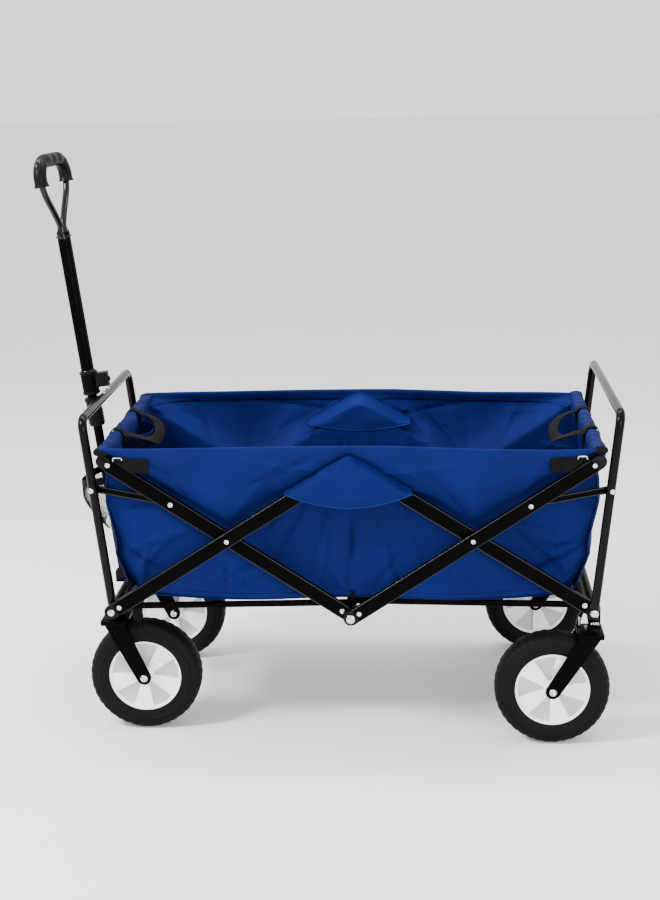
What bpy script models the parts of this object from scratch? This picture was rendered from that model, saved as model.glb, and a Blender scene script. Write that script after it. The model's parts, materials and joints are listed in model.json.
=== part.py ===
"""Folding utility wagon (beach cart) as an assembly of rigid pieces and cloth panels.

All sizes are in millimetres and become metres in to_world. +X runs from the pulling
handle towards the back, +Y across the wagon, +Z up, and the wheels stand on z = 0.
"""

import math

import bmesh
import bpy
from mathutils import Vector

MM = 0.001
MID_X = 43.0  # moves the wagon so that its box, with the handle, is centred on the origin

# Joints of the side linkage, as (x, z). The back of the wagon mirrors the front.
LOW_X, LOW_Z = 398.0, 223.4  # lower end pivot, under each hoop
HUB_LOW_Z = 213.0  # lower middle pivot
CROSS_X, CROSS_Z = 201.0, 346.0  # where the two bars of a side cross
HUB_HIGH_Z = 479.0  # upper middle pivot
TOP_X, TOP_Z = 403.0, 478.0  # upper end pivot, the cloth's end tube
LINK_X, LINK_Z = 293.4, 405.0  # short link on the bar
HOOP_PIN_X, HOOP_PIN_Z = 422.8, 429.6  # short link on the hoop leg
HOOP_TOP_X = 434.5
HOOP_TOP_Z_FRONT, HOOP_TOP_Z_BACK = 547.0, 555.0
HOOP_CORNER = 18.0

# Distance of each layer's middle from the wagon's centre plane
OUTER_Y, INNER_Y = 225.0, 211.0
FRONT_LINK_Y, BACK_LINK_Y = 201.2, 215.2

BAR_WIDTH, BAR_THICK = 24.0, 12.0
HOOP_R, CROSS_TUBE_R, END_TUBE_R = 7.5, 8.0, 8.0
PIN_R, HOLE_R = 4.0, 4.4
FLUSH_HEAD = 0.2  # rivet head that the back hoop's leg passes over as the wagon folds

TYRE_R, TYRE_HALF, RIM_R = 95.0, 25.0, 64.0
AXLE_R = 5.0
FRONT_AXLE_X, BACK_AXLE_X = -354.0, 331.0
FRONT_WHEEL_Y, BACK_WHEEL_Y = 166.0, 221.0
SWIVEL_X = -404.0

HANDLE_X, HANDLE_Z, HANDLE_LEAN = -419.0, 224.0, math.radians(7.1)
GRIP_TWIST = math.radians(9.0)

CLOTH = 3.0
CLOTH_BOTTOM, CLOTH_TOP = 240.0, 498.0

BLACK = (0.012, 0.012, 0.013)
PLASTIC = (0.02, 0.02, 0.021)
SILVER = (0.62, 0.62, 0.63)
RUBBER = (0.018, 0.018, 0.018)
RIM = (0.74, 0.74, 0.73)
BLUE = (0.012, 0.05, 0.32)


def clear_scene():
    for old in list(bpy.data.objects):
        bpy.data.objects.remove(old, do_unlink=True)


def material(name, colour, roughness, metallic):
    made = bpy.data.materials.new(name)
    made.use_nodes = True
    shader = made.node_tree.nodes["Principled BSDF"]
    shader.inputs["Base Color"].default_value = (*colour, 1.0)
    shader.inputs["Roughness"].default_value = roughness
    shader.inputs["Metallic"].default_value = metallic
    return made


def to_world(point):
    return Vector(((point[0] + MID_X) * MM, point[1] * MM, point[2] * MM))


def from_faces(name, points, faces):
    mesh = bpy.data.meshes.new(name)
    mesh.from_pydata([to_world(p) for p in points], [], faces)
    mesh.validate()
    bm = bmesh.new()
    bm.from_mesh(mesh)
    bmesh.ops.remove_doubles(bm, verts=bm.verts, dist=1e-6)
    bmesh.ops.recalc_face_normals(bm, faces=bm.faces)
    bm.to_mesh(mesh)
    bm.free()
    made = bpy.data.objects.new(name, mesh)
    bpy.context.scene.collection.objects.link(made)
    return made


def finish(made, look, pivot, called=None):
    """Give a piece its name and material, and put its origin on its joint axis."""
    if called:
        made.name = called
        made.data.name = called
    origin = to_world(pivot)
    for vertex in made.data.vertices:
        vertex.co -= origin
    made.location = origin
    finish_name, colour, roughness, metallic = look
    made.data.materials.clear()
    made.data.materials.append(material(made.name + "_" + finish_name, colour, roughness, metallic))
    return made


def boolean(target, cutters, operation):
    """Apply one Boolean with every cutter in turn, then remove the cutters."""
    for cutter in cutters:
        step = target.modifiers.new("bool", "BOOLEAN")
        step.operation = operation
        step.solver = "EXACT"
        step.object = cutter
        evaluated = target.evaluated_get(bpy.context.evaluated_depsgraph_get())
        result = bpy.data.meshes.new_from_object(evaluated)
        target.modifiers.clear()
        target.data = result
        bpy.data.objects.remove(cutter, do_unlink=True)
    return target


def union(target, *others):
    return boolean(target, others, "UNION")


def cut(target, *others):
    return boolean(target, others, "DIFFERENCE")


def prism_y(name, outline, low, high):
    """A flat outline of (x, z) points given thickness from y = low to y = high."""
    count = len(outline)
    points = [(x, low, z) for x, z in outline] + [(x, high, z) for x, z in outline]
    faces = [tuple(range(count)), tuple(range(2 * count - 1, count - 1, -1))]
    for i in range(count):
        j = (i + 1) % count
        faces.append((i, i + count, j + count, j))
    return from_faces(name, points, faces)


def box(name, low, high):
    outline = [(low[0], low[2]), (high[0], low[2]), (high[0], high[2]), (low[0], high[2])]
    return prism_y(name, outline, low[1], high[1])


def arc(cx, cz, radius, start, end, steps):
    out = []
    for i in range(steps + 1):
        angle = start + (end - start) * i / steps
        out.append((cx + radius * math.cos(angle), cz + radius * math.sin(angle)))
    return out


def rounded_bar(a, b, radius, radius_b=None, steps=6):
    """Outline of a bar with round ends from a to b, both (x, z)."""
    angle = math.atan2(b[1] - a[1], b[0] - a[0])
    far = radius if radius_b is None else radius_b
    half = math.pi / 2
    first = arc(b[0], b[1], far, angle - half, angle + half, steps)
    second = arc(a[0], a[1], radius, angle + half, angle + 3 * half, steps)
    return first + second


def lathe(name, profile, cx, cz, steps, start=-math.pi / 2, closed=False):
    """Turn a profile of (radius, y) points around the Y axis through (cx, cz).

    An open profile starts and ends on the axis. A closed one is a ring.
    """
    points = []
    rings = []
    for radius, y in profile:
        if radius <= 0:
            rings.append([len(points)])
            points.append((cx, y, cz))
            continue
        ring = []
        for i in range(steps):
            angle = start + 2 * math.pi * i / steps
            ring.append(len(points))
            points.append((cx + radius * math.cos(angle), y, cz + radius * math.sin(angle)))
        rings.append(ring)
    faces = []
    pairs = list(zip(rings, rings[1:]))
    if closed:
        pairs.append((rings[-1], rings[0]))
    for one, two in pairs:
        for i in range(steps):
            j = (i + 1) % steps
            if len(one) == 1:
                faces.append((one[0], two[i], two[j]))
            elif len(two) == 1:
                faces.append((one[i], one[j], two[0]))
            else:
                faces.append((one[i], one[j], two[j], two[i]))
    return from_faces(name, points, faces)


def rod_y(x, z, radius, low, high, steps=12):
    """A plain rod along Y, used for holes and pins."""
    return lathe("rod", [(0, low), (radius, low), (radius, high), (0, high)], x, z, steps)


def stepped_pin(x, z, stations, steps=12):
    """A pin along Y through (y, radius) stations, each holding up to the next."""
    profile = [(0, stations[0][0])]
    for (y, radius), (y2, _) in zip(stations, stations[1:]):
        profile.append((radius, y))
        profile.append((radius, y2))
    profile.append((0, stations[-1][0]))
    return lathe("pin", profile, x, z, steps)


def mirrored(side, stations):
    """Stations given for the +Y side, turned over for side -1."""
    if side > 0:
        return stations
    ends = [y for y, _ in stations][::-1]
    radii = [r for _, r in stations[:-1]][::-1] + [0]
    return [(-y, r) for y, r in zip(ends, radii)]


def spans(side, near, far):
    return (near, far) if side > 0 else (-far, -near)


def frames_along(path):
    """A direction and two cross directions at each point of a path, without twist."""
    out = []
    normal = None
    for i, point in enumerate(path):
        before = path[max(i - 1, 0)]
        after = path[min(i + 1, len(path) - 1)]
        along = (after - before).normalized()
        if normal is None:
            guess = Vector((0, 1, 0)) if abs(along.y) < 0.9 else Vector((1, 0, 0))
            normal = (guess - along * guess.dot(along)).normalized()
        else:
            normal = (normal - along * normal.dot(along)).normalized()
        out.append((along, normal, along.cross(normal)))
    return out


def ring_points(path, radius, steps, flat=1.0):
    points = []
    for i, (along, normal, other) in enumerate(frames_along(path)):
        grow = 1.0
        if 0 < i < len(path) - 1:
            turn = (path[i] - path[i - 1]).normalized().dot((path[i + 1] - path[i]).normalized())
            grow = 1.0 / math.sqrt(max(0.5 * (1.0 + turn), 0.25))
        bend = Vector((0, 0, 0))
        if grow > 1.0001:
            bend = ((path[i] - path[i - 1]).normalized() - (path[i + 1] - path[i]).normalized()).normalized()
        for k in range(steps):
            angle = 2 * math.pi * (k + 0.5) / steps
            offset = normal * math.cos(angle) * radius + other * math.sin(angle) * radius * flat
            offset += bend * offset.dot(bend) * (grow - 1.0)
            points.append(tuple(path[i] + offset))
    return points


def tube(name, path, radius, steps=10, inner=None, flat=1.0):
    """Sweep a circle along a path. With inner it is a hollow pipe."""
    path = [Vector(p) for p in path]
    rows = len(path)
    points = ring_points(path, radius, steps, flat)
    faces = []
    for r in range(rows - 1):
        for k in range(steps):
            j = (k + 1) % steps
            faces.append((r * steps + k, r * steps + j, (r + 1) * steps + j, (r + 1) * steps + k))
    if inner is None:
        faces.append(tuple(range(steps)))
        faces.append(tuple(range((rows - 1) * steps, rows * steps)))
        return from_faces(name, points, faces)
    base = len(points)
    points += ring_points(path, inner, steps)
    for r in range(rows - 1):
        for k in range(steps):
            j = (k + 1) % steps
            a = base + r * steps
            faces.append((a + k, a + steps + k, a + steps + j, a + j))
    for row in (0, rows - 1):
        for k in range(steps):
            j = (k + 1) % steps
            a = row * steps
            faces.append((a + k, a + j, base + a + j, base + a + k))
    return from_faces(name, points, faces)


def bent(corners, radius, steps=5):
    """Round the inner corners of a path of points."""
    corners = [Vector(c) for c in corners]
    out = [corners[0]]
    for before, here, after in zip(corners, corners[1:], corners[2:]):
        a = (before - here).normalized()
        b = (after - here).normalized()
        angle = a.angle(b)
        reach = radius / math.tan(angle / 2)
        centre = here + (a + b).normalized() * (radius / math.sin(angle / 2))
        start = here + a * reach
        end = here + b * reach
        for i in range(steps + 1):
            spot = start.lerp(end, i / steps)
            out.append(centre + (spot - centre).normalized() * radius)
    out.append(corners[-1])
    return out


PAINT = ("paint", BLACK, 0.35, 0.0)
MOULDED = ("plastic", PLASTIC, 0.5, 0.0)
STEEL = ("steel", SILVER, 0.3, 1.0)
TYRE = ("tyre", RUBBER, 0.85, 0.0)
DISC = ("disc", RIM, 0.45, 0.0)
WEAVE = ("weave", BLUE, 0.8, 0.0)


def side_name(side):
    return "far" if side > 0 else "near"


def bar_rivet(side, x, z, face, height):
    """A flat rivet head that stands out of a bar's outer face."""
    return stepped_pin(x, z, mirrored(side, [(face - 3.0, 4.6), (face + height, 0)]), 8)


def make_outer_bar(name, side, end):
    """A bar of the outer layer. end is -1 for the front and +1 for the back.

    The front one hangs from the upper hub down to the front lower pivot, and the back
    one rises from the lower hub to the back end tube.
    """
    face = OUTER_Y + BAR_THICK / 2
    span = spans(side, OUTER_Y - BAR_THICK / 2, face)
    if end < 0:
        a, b = (-LOW_X, LOW_Z), (0.0, HUB_HIGH_Z - 4.0)
        outline = rounded_bar(a, b, BAR_WIDTH / 2)
        holes = [a]
    else:
        a, b = (0.0, HUB_LOW_Z), (TOP_X, TOP_Z)
        outline = rounded_bar(a, b, BAR_WIDTH / 2, 11.0)
        holes = [a, b]
    made = prism_y(name, outline, *span)
    cut(made, *[rod_y(x, z, HOLE_R, OUTER_Y - 20, OUTER_Y + 20) if side > 0
                else rod_y(x, z, HOLE_R, -OUTER_Y - 20, -OUTER_Y + 20) for x, z in holes])
    ux, uz = b[0] - a[0], b[1] - a[1]
    length = math.hypot(ux, uz)
    ux, uz = ux / length, uz / length
    heads = [bar_rivet(side, a[0] + ux * 17, a[1] + uz * 17, face, 1.8)]
    heads.append(bar_rivet(side, b[0] - ux * 17, b[1] - uz * 17, face, 1.8))
    if end > 0:
        heads.append(bar_rivet(side, LINK_X, LINK_Z, face, 1.8))
    through = [
        (INNER_Y - 8.4, 6.0),
        (INNER_Y - 6.4, PIN_R),
        (face - 4.0, PIN_R),
        (face - 3.0, 5.2),
        (face + 2.2, 0),
    ]
    heads.append(stepped_pin(end * CROSS_X, CROSS_Z, mirrored(side, through), 10))
    if end < 0:
        heads.append(stepped_pin(0.0, HUB_HIGH_Z, mirrored(side, through), 10))
    union(made, *heads)
    return finish(made, PAINT, (end * CROSS_X, 0, CROSS_Z))


def make_inner_bar(name, side, end):
    """A bar of the inner layer, the mirror of the outer one: -1 rises to the front end tube."""
    face = INNER_Y + BAR_THICK / 2
    span = spans(side, INNER_Y - BAR_THICK / 2, face)
    if end < 0:
        a, b = (0.0, HUB_LOW_Z), (-TOP_X, TOP_Z)
        outline = rounded_bar(a, b, BAR_WIDTH / 2, 11.0)
        holes = [a, b, (-CROSS_X, CROSS_Z)]
    else:
        a, b = (LOW_X, LOW_Z), (0.0, HUB_HIGH_Z - 4.0)
        outline = rounded_bar(a, b, BAR_WIDTH / 2)
        holes = [a, (0.0, HUB_HIGH_Z), (CROSS_X, CROSS_Z)]
    made = prism_y(name, outline, *span)
    low, high = spans(side, INNER_Y - 20, INNER_Y + 20)
    cut(made, *[rod_y(x, z, HOLE_R, low, high) for x, z in holes])
    ux, uz = b[0] - a[0], b[1] - a[1]
    length = math.hypot(ux, uz)
    ux, uz = ux / length, uz / length
    heads = []
    if end < 0:
        heads.append(bar_rivet(side, b[0] - ux * 17, b[1] - uz * 17, face, 1.4))
        heads.append(bar_rivet(side, -LINK_X, LINK_Z, face, 1.4))
    else:
        heads.append(bar_rivet(side, a[0] + ux * 17, a[1] + uz * 17, face, FLUSH_HEAD))
    union(made, *heads)
    return finish(made, PAINT, (end * CROSS_X, 0, CROSS_Z))


def make_link(name, side, end):
    """A flat link from the hoop leg to the rising bar, with its pin through the leg."""
    middle = FRONT_LINK_Y if end < 0 else BACK_LINK_Y
    leg = INNER_Y if end < 0 else OUTER_Y
    a = (end * HOOP_PIN_X, HOOP_PIN_Z)
    b = (end * LINK_X, LINK_Z)
    made = prism_y(name, rounded_bar(a, b, 6.0, steps=6), *spans(side, middle - 2.0, middle + 2.0))
    pin = [(middle, 3.0), (leg + 7.9, 4.5), (leg + 9.3, 0)]
    union(made, stepped_pin(a[0], a[1], mirrored(side, pin), 10))
    return finish(made, PAINT, (a[0], 0, a[1]))


def make_hoop(name, end):
    y = INNER_Y if end < 0 else OUTER_Y
    top_z = HOOP_TOP_Z_FRONT if end < 0 else HOOP_TOP_Z_BACK
    slope = (HOOP_TOP_X - LOW_X) / (top_z - LOW_Z)
    foot_x, foot_z = end * (LOW_X - slope * 9.0), LOW_Z - 9.0
    corners = [
        (foot_x, -y, foot_z),
        (end * HOOP_TOP_X, -y, top_z),
        (end * HOOP_TOP_X, y, top_z),
        (foot_x, y, foot_z),
    ]
    made = tube(name, bent(corners, HOOP_CORNER, 4), HOOP_R, 10)
    holes = []
    for side in (-1, 1):
        low, high = spans(side, y - 20, y + 20)
        holes.append(rod_y(end * LOW_X, LOW_Z, HOLE_R, low, high))
        holes.append(rod_y(end * HOOP_PIN_X, HOOP_PIN_Z, 3.4, low, high, 10))
    cut(made, *holes)
    return finish(made, PAINT, (end * LOW_X, 0, LOW_Z))


def cross_stations(half, radius, last, head, head_r):
    """Stations of a tube across the wagon with a pin and a head at each end."""
    right = [(half, PIN_R), (last, head_r), (last + head, 0)]
    left = [(-last - head, head_r), (-last, PIN_R), (-half, radius)]
    return left + right


def make_cross_tube(x, z, half, radius, last, head, head_r):
    return stepped_pin(x, z, cross_stations(half, radius, last, head, head_r), 14)


def make_front_crossbar():
    made = make_cross_tube(-LOW_X, LOW_Z, 202.6, CROSS_TUBE_R, 231.4, 2.6, 6.5)
    for side in (-1, 1):
        y = side * FRONT_WHEEL_Y
        post = rod_z(SWIVEL_X, y, [(183.4, 8.0), (187.6, 5.0), (196.5, 13.0), (222.0, 0)])
        union(made, post)
    return finish(made, PAINT, (-LOW_X, 0, LOW_Z), "front_crossbar")


def rod_z(x, y, stations, steps=16):
    """An upright turned piece through (z, radius) stations."""
    profile = [(0, stations[0][0])]
    for (z, radius), (z2, _) in zip(stations, stations[1:]):
        profile.append((radius, z))
        profile.append((radius, z2))
    profile.append((0, stations[-1][0]))
    made = lathe("post", profile, 0.0, 0.0, steps)
    for vertex in made.data.vertices:
        px, py, pz = vertex.co.x - MID_X * MM, vertex.co.y, vertex.co.z
        vertex.co = Vector(((x + MID_X) * MM + px, y * MM - pz, py))
    return made


def blade(name, top, axle_x, low, high):
    """A tapering fork cheek from a flat top edge ((x, z), (x, z)) to a round axle end."""
    outline = list(top)
    right, left = top
    centre = Vector((axle_x, TYRE_R))
    radius = 12.0
    ends = []
    for corner, sign in ((left, -1.0), (right, 1.0)):
        gap = Vector(corner) - centre
        angle = math.atan2(gap.y, gap.x)
        lift = math.acos(radius / gap.length)
        ends.append(angle - sign * lift)
    start, end = ends
    while end <= start:
        end += 2 * math.pi
    outline += arc(axle_x, TYRE_R, radius, start, end, 9)
    return prism_y(name, outline, low, high)


def make_fork(name, side, end):
    y = side * (FRONT_WHEEL_Y if end < 0 else BACK_WHEEL_Y)
    reach = 31.5
    if end < 0:
        plate_low, plate_high = -424.0, -380.0
        top = ((-381.0, 189.0), (-417.0, 189.0))
        axle_x = FRONT_AXLE_X
        deck = (188.2, 196.0)
    else:
        plate_low, plate_high = 371.0, 413.0
        top = ((408.0, 187.0), (372.0, 187.0))
        axle_x = BACK_AXLE_X
        deck = (185.6, 193.0)
    made = box(name, (plate_low, y - reach, deck[0]), (plate_high, y + reach, deck[1]))
    for edge in (-1, 1):
        low = y + reach - 4.0 if edge > 0 else y - reach
        union(made, blade("cheek", top, axle_x, low, low + 4.0))
    if end < 0:
        cut(made, rod_z(SWIVEL_X, y, [(170.0, 5.4), (210.0, 0)]))
        pivot = (SWIVEL_X, y, TYRE_R)
    else:
        low, high = spans(side, 190.0, 203.0)
        outline = [(384.0, 190.0), (412.0, 190.0)]
        outline += arc(LOW_X, LOW_Z, 13.5, 0.0, math.pi, 10)
        union(made, prism_y("upright", outline, low, high))
        cut(made, rod_y(LOW_X, LOW_Z, CROSS_TUBE_R + 0.4, low - 10, high + 10, 16))
        pivot = (LOW_X, 0, LOW_Z)
    cut(made, rod_y(axle_x, TYRE_R, AXLE_R + 0.4, y - 60, y + 60, 16))
    return finish(made, PAINT, pivot)


def make_axle(name, side, end):
    x = FRONT_AXLE_X if end < 0 else BACK_AXLE_X
    y = side * (FRONT_WHEEL_Y if end < 0 else BACK_WHEEL_Y)
    stations = [(y - 36.0, 8.0), (y - 32.0, AXLE_R), (y + 32.0, 8.0), (y + 36.0, 0)]
    made = stepped_pin(x, TYRE_R, stations, 12)
    return finish(made, STEEL, (x, y, TYRE_R), name)


def make_tyre(name, side, end):
    x = FRONT_AXLE_X if end < 0 else BACK_AXLE_X
    y = side * (FRONT_WHEEL_Y if end < 0 else BACK_WHEEL_Y)
    half = [(RIM_R + 0.3, 19.0), (72.0, 24.0), (82.0, TYRE_HALF), (TYRE_R, 12.0)]
    profile = [(r, y + w) for r, w in half] + [(r, y - w) for r, w in reversed(half)]
    made = lathe(name, profile, x, TYRE_R, 28, closed=True)
    return finish(made, TYRE, (x, y, TYRE_R))


def make_disc(name, side, end):
    x = FRONT_AXLE_X if end < 0 else BACK_AXLE_X
    y = side * (FRONT_WHEEL_Y if end < 0 else BACK_WHEEL_Y)
    half = [(5.6, 25.5), (13.0, 25.5), (15.0, 17.0), (RIM_R, 19.0)]
    profile = [(r, y + w) for r, w in half] + [(r, y - w) for r, w in reversed(half)]
    made = lathe(name, profile, x, TYRE_R, 28, closed=True)
    return finish(made, DISC, (x, y, TYRE_R))


def make_rail(name, side, end):
    """A floor rail from the lower crossbar to the middle, one plane for each end."""
    middle = 193.0 if end < 0 else 183.0
    a = (end * LOW_X, LOW_Z)
    b = (-end * 6.0, 230.5)
    low, high = spans(side, middle - 4.0, middle + 4.0)
    made = prism_y(name, rounded_bar(a, b, 5.0), low, high)
    union(made, prism_y("eye", arc(a[0], a[1], 12.0, 0, 2 * math.pi * 15 / 16, 15), low, high))
    cut(made, rod_y(a[0], a[1], CROSS_TUBE_R + 0.4, low - 10, high + 10, 16))
    return finish(made, PAINT, (a[0], 0, a[1]))


def along_handle(distance, across=0.0, forward=0.0):
    """A point by its distance up the handle's axis, across it, and out from it."""
    s, c = math.sin(HANDLE_LEAN), math.cos(HANDLE_LEAN)
    return (HANDLE_X - s * distance - c * forward, across, HANDLE_Z + c * distance - s * forward)


def twisted(distance, across):
    """A point of the grip, whose plane is turned a little about the handle's axis."""
    return along_handle(distance, across * math.cos(GRIP_TWIST), -across * math.sin(GRIP_TWIST))


def make_handle():
    pivot = (HANDLE_X, 0, HANDLE_Z)
    outline = [(-LOW_X + 11.0, 207.0), (-LOW_X + 11.0, 233.0)]
    outline += arc(HANDLE_X, HANDLE_Z, 12.0, math.pi / 2, math.pi, 5)
    outline.append((HANDLE_X - 12.0, 207.0))
    made = prism_y("handle_yoke", outline, -15.0, 15.0)
    cut(made, box("slot", (HANDLE_X - 40.0, -11.5, 212.0), (HANDLE_X + 10.8, 11.5, 260.0)))
    cut(made, rod_y(-LOW_X, LOW_Z, CROSS_TUBE_R + 0.4, -40, 40, 16))
    cut(made, rod_y(HANDLE_X, HANDLE_Z, 4.4, -40, 40))
    finish(made, MOULDED, (-LOW_X, 0, LOW_Z))

    made = tube("handle_lower_tube", [along_handle(-4.5), along_handle(592.0)], 8.6, 12)
    union(made, stepped_pin(HANDLE_X, HANDLE_Z, [(-18.0, 6.5), (-15.4, 4.0), (15.4, 6.5), (18.0, 0)]))
    finish(made, PAINT, pivot)

    made = tube("handle_sleeve", [along_handle(270.0), along_handle(321.0)], 13.5, 14, inner=9.4)
    finish(made, MOULDED, pivot)

    made = tube("handle_upper_tube", [along_handle(330.0), along_handle(600.0)], 10.6, 14, inner=9.1)
    finish(made, PAINT, along_handle(330.0))

    made = tube("handle_collar", [along_handle(326.0), along_handle(368.0)], 14.2, 14, inner=11.2)
    union(made, handle_box("block", 338.0, 363.0, 9.0, -12.2, -34.0))
    cut(made, handle_rod(350.0, -24.0, -44.0, 4.3))
    finish(made, MOULDED, along_handle(330.0))

    made = handle_rod(350.0, -27.0, -36.5, 3.9)
    made.name = "lock_button"
    finish(made, MOULDED, along_handle(350.0, 0.0, -36.5))

    wire = [twisted(611.0, -7.0), twisted(622.0, -8.0), twisted(674.0, -60.0), twisted(735.0, -60.0)]
    wire += [twisted(735.0, 60.0), twisted(674.0, 60.0), twisted(622.0, 8.0), twisted(611.0, 7.0)]
    made = tube("grip_loop", rounded_wire(wire), 4.6, 8)
    union(made, stud("foot", twisted(611.0, -13.4), twisted(611.0, 13.4), 8.4, 12))
    cut(made, stud("hole", twisted(611.0, -30.0), twisted(611.0, 30.0), 3.4, 10))
    finish(made, PAINT, along_handle(330.0))

    cover = [twisted(692.0, -60.0), twisted(735.0, -60.0), twisted(735.0, 60.0), twisted(692.0, 60.0)]
    made = tube("grip_cover", bent(cover, 34.0, 4), 12.4, 10, inner=5.6)
    finish(made, MOULDED, along_handle(330.0))

    made = stud("grip_bolt", twisted(611.0, -14.4), twisted(611.0, 14.4), 3.0, 10)
    for a, b in ((-17.6, -13.8), (13.8, 17.6)):
        union(made, stud("head", twisted(611.0, a), twisted(611.0, b), 5.4, 12))
    finish(made, PAINT, along_handle(330.0))


def rounded_wire(wire):
    """The loop's path: tight bends at the neck, the grip's own bends at the top."""
    neck = bent(wire[:4], 12.0, 2)
    arch = bent(wire[2:6], 34.0, 4)
    tail = bent(wire[4:], 12.0, 2)
    return neck[:-1] + arch[1:-1] + tail[1:]


def stud(name, a, b, radius, steps):
    return tube(name, [a, b], radius, steps)


def handle_rod(distance, first, last, radius):
    """A rod that points out from the handle's axis, towards the wagon's box."""
    return tube("rod", [along_handle(distance, 0, first), along_handle(distance, 0, last)], radius, 12)


def handle_box(name, low, high, half, first, last):
    points = []
    for distance in (low, high):
        for across in (-half, half):
            for forward in (first, last):
                points.append(along_handle(distance, across, forward))
    faces = [(0, 1, 3, 2), (4, 6, 7, 5), (0, 4, 5, 1), (2, 3, 7, 6), (0, 2, 6, 4), (1, 5, 7, 3)]
    return from_faces(name, points, faces)


def make_end_tube(name, end):
    y = INNER_Y if end < 0 else OUTER_Y
    last = y + BAR_THICK / 2 + 0.4
    head = 1.2 if end < 0 else 2.2
    made = make_cross_tube(end * TOP_X, TOP_Z, 204.4, END_TUBE_R, last, head, 6.0)
    return finish(made, PAINT, (end * TOP_X, 0, TOP_Z), name)


def make_rim_sleeve(name, end):
    profile = [(END_TUBE_R + 0.5, -194.0), (11.5, -194.0), (11.5, 194.0), (END_TUBE_R + 0.5, 194.0)]
    made = lathe(name, profile, end * TOP_X, TOP_Z, 16, closed=True)
    return finish(made, WEAVE, (end * TOP_X, 0, TOP_Z))


def make_cloth():
    hub = (0, 0, HUB_HIGH_Z)
    for side in (-1, 1):
        low, high = spans(side, 198.2 - CLOTH, 198.2)
        made = box("side_panel_" + side_name(side), (-389.0, low, CLOTH_BOTTOM), (389.0, high, CLOTH_TOP))
        finish(made, WEAVE, hub)
    for end, word in ((-1, "front"), (1, "back")):
        low, high = spans(end, 386.0, 389.0)
        made = box("end_panel_" + word, (low, -194.8, CLOTH_BOTTOM), (high, 194.8, CLOTH_TOP - 6.0))
        finish(made, WEAVE, hub)
    made = box("floor_panel", (-385.6, -194.8, CLOTH_BOTTOM), (385.6, 194.8, CLOTH_BOTTOM + 2.5))
    finish(made, WEAVE, hub)
    made = box("floor_mat", (-380.0, -188.0, CLOTH_BOTTOM + 2.9), (380.0, 188.0, CLOTH_BOTTOM + 8.9))
    finish(made, WEAVE, hub)


def make_all():
    clear_scene()
    for side in (-1, 1):
        word = side_name(side)
        make_outer_bar("front_outer_bar_" + word, side, -1)
        make_outer_bar("back_outer_bar_" + word, side, 1)
        make_inner_bar("front_inner_bar_" + word, side, -1)
        make_inner_bar("back_inner_bar_" + word, side, 1)
        for end, place in ((-1, "front"), (1, "back")):
            tag = place + "_" + word
            make_link("short_link_" + tag, side, end)
            make_rail("floor_rail_" + tag, side, end)
            make_fork("wheel_fork_" + tag, side, end)
            make_axle("axle_bolt_" + tag, side, end)
            make_tyre("tyre_" + tag, side, end)
            make_disc("wheel_disc_" + tag, side, end)
    for end, place in ((-1, "front"), (1, "back")):
        make_hoop(place + "_hoop", end)
        make_end_tube(place + "_end_tube", end)
        make_rim_sleeve(place + "_rim_sleeve", end)
    make_front_crossbar()
    made = make_cross_tube(LOW_X, LOW_Z, 204.4, CROSS_TUBE_R, 232.9, 2.6, 6.5)
    finish(made, PAINT, (LOW_X, 0, LOW_Z), "back_crossbar")
    made = make_cross_tube(0.0, HUB_LOW_Z, 204.4, CROSS_TUBE_R, 231.4, 3.4, 7.0)
    finish(made, PAINT, (0, 0, HUB_LOW_Z), "hub_tube")
    make_handle()
    make_cloth()


make_all()
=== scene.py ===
"""Looks of a folding utility wagon (beach cart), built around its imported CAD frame.

Lengths here are millimetres in the frame's own axes: +X from the handle to the back,
+Y across to the far side, +Z up. They become metres when a mesh is made.
"""

import json
import math
import random

import bmesh
import bpy
import numpy as np
from mathutils import Matrix, Vector


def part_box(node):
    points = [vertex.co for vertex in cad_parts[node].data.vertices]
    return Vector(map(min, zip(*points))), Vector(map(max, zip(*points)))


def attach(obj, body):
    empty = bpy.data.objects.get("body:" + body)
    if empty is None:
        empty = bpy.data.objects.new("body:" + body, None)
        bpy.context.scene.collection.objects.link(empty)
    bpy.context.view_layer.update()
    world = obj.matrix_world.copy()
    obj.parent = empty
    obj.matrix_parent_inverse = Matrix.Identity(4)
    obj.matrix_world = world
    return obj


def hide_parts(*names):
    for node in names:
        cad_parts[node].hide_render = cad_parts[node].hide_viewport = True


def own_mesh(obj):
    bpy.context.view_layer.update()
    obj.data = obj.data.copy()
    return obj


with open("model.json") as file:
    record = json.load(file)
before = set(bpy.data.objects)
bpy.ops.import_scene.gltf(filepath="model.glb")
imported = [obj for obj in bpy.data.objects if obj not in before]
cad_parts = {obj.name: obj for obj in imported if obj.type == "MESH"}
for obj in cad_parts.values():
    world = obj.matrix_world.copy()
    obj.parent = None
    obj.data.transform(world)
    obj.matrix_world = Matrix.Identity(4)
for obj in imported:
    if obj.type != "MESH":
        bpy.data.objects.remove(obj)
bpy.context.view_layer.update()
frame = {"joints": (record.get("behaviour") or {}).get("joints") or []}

MM = 0.001
SIDES = ((-1, "near"), (1, "far"))
ENDS = ((-1, "front"), (1, "back"))
CORNERS = [(side, near_far, end, place) for side, near_far in SIDES for end, place in ENDS]
UP = Vector((0, 0, 1))
ACROSS = Vector((0, 1, 0))

# ---------------------------------------------------------------- places from the frame


def hinge(name):
    joint = next(j for j in frame["joints"] if j["name"] == name)
    return Vector(joint["pos_m"]) / MM


def node_box(name):
    low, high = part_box(name)
    return low / MM, high / MM


def middle(name):
    low, high = node_box(name)
    return (low + high) / 2


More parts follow.
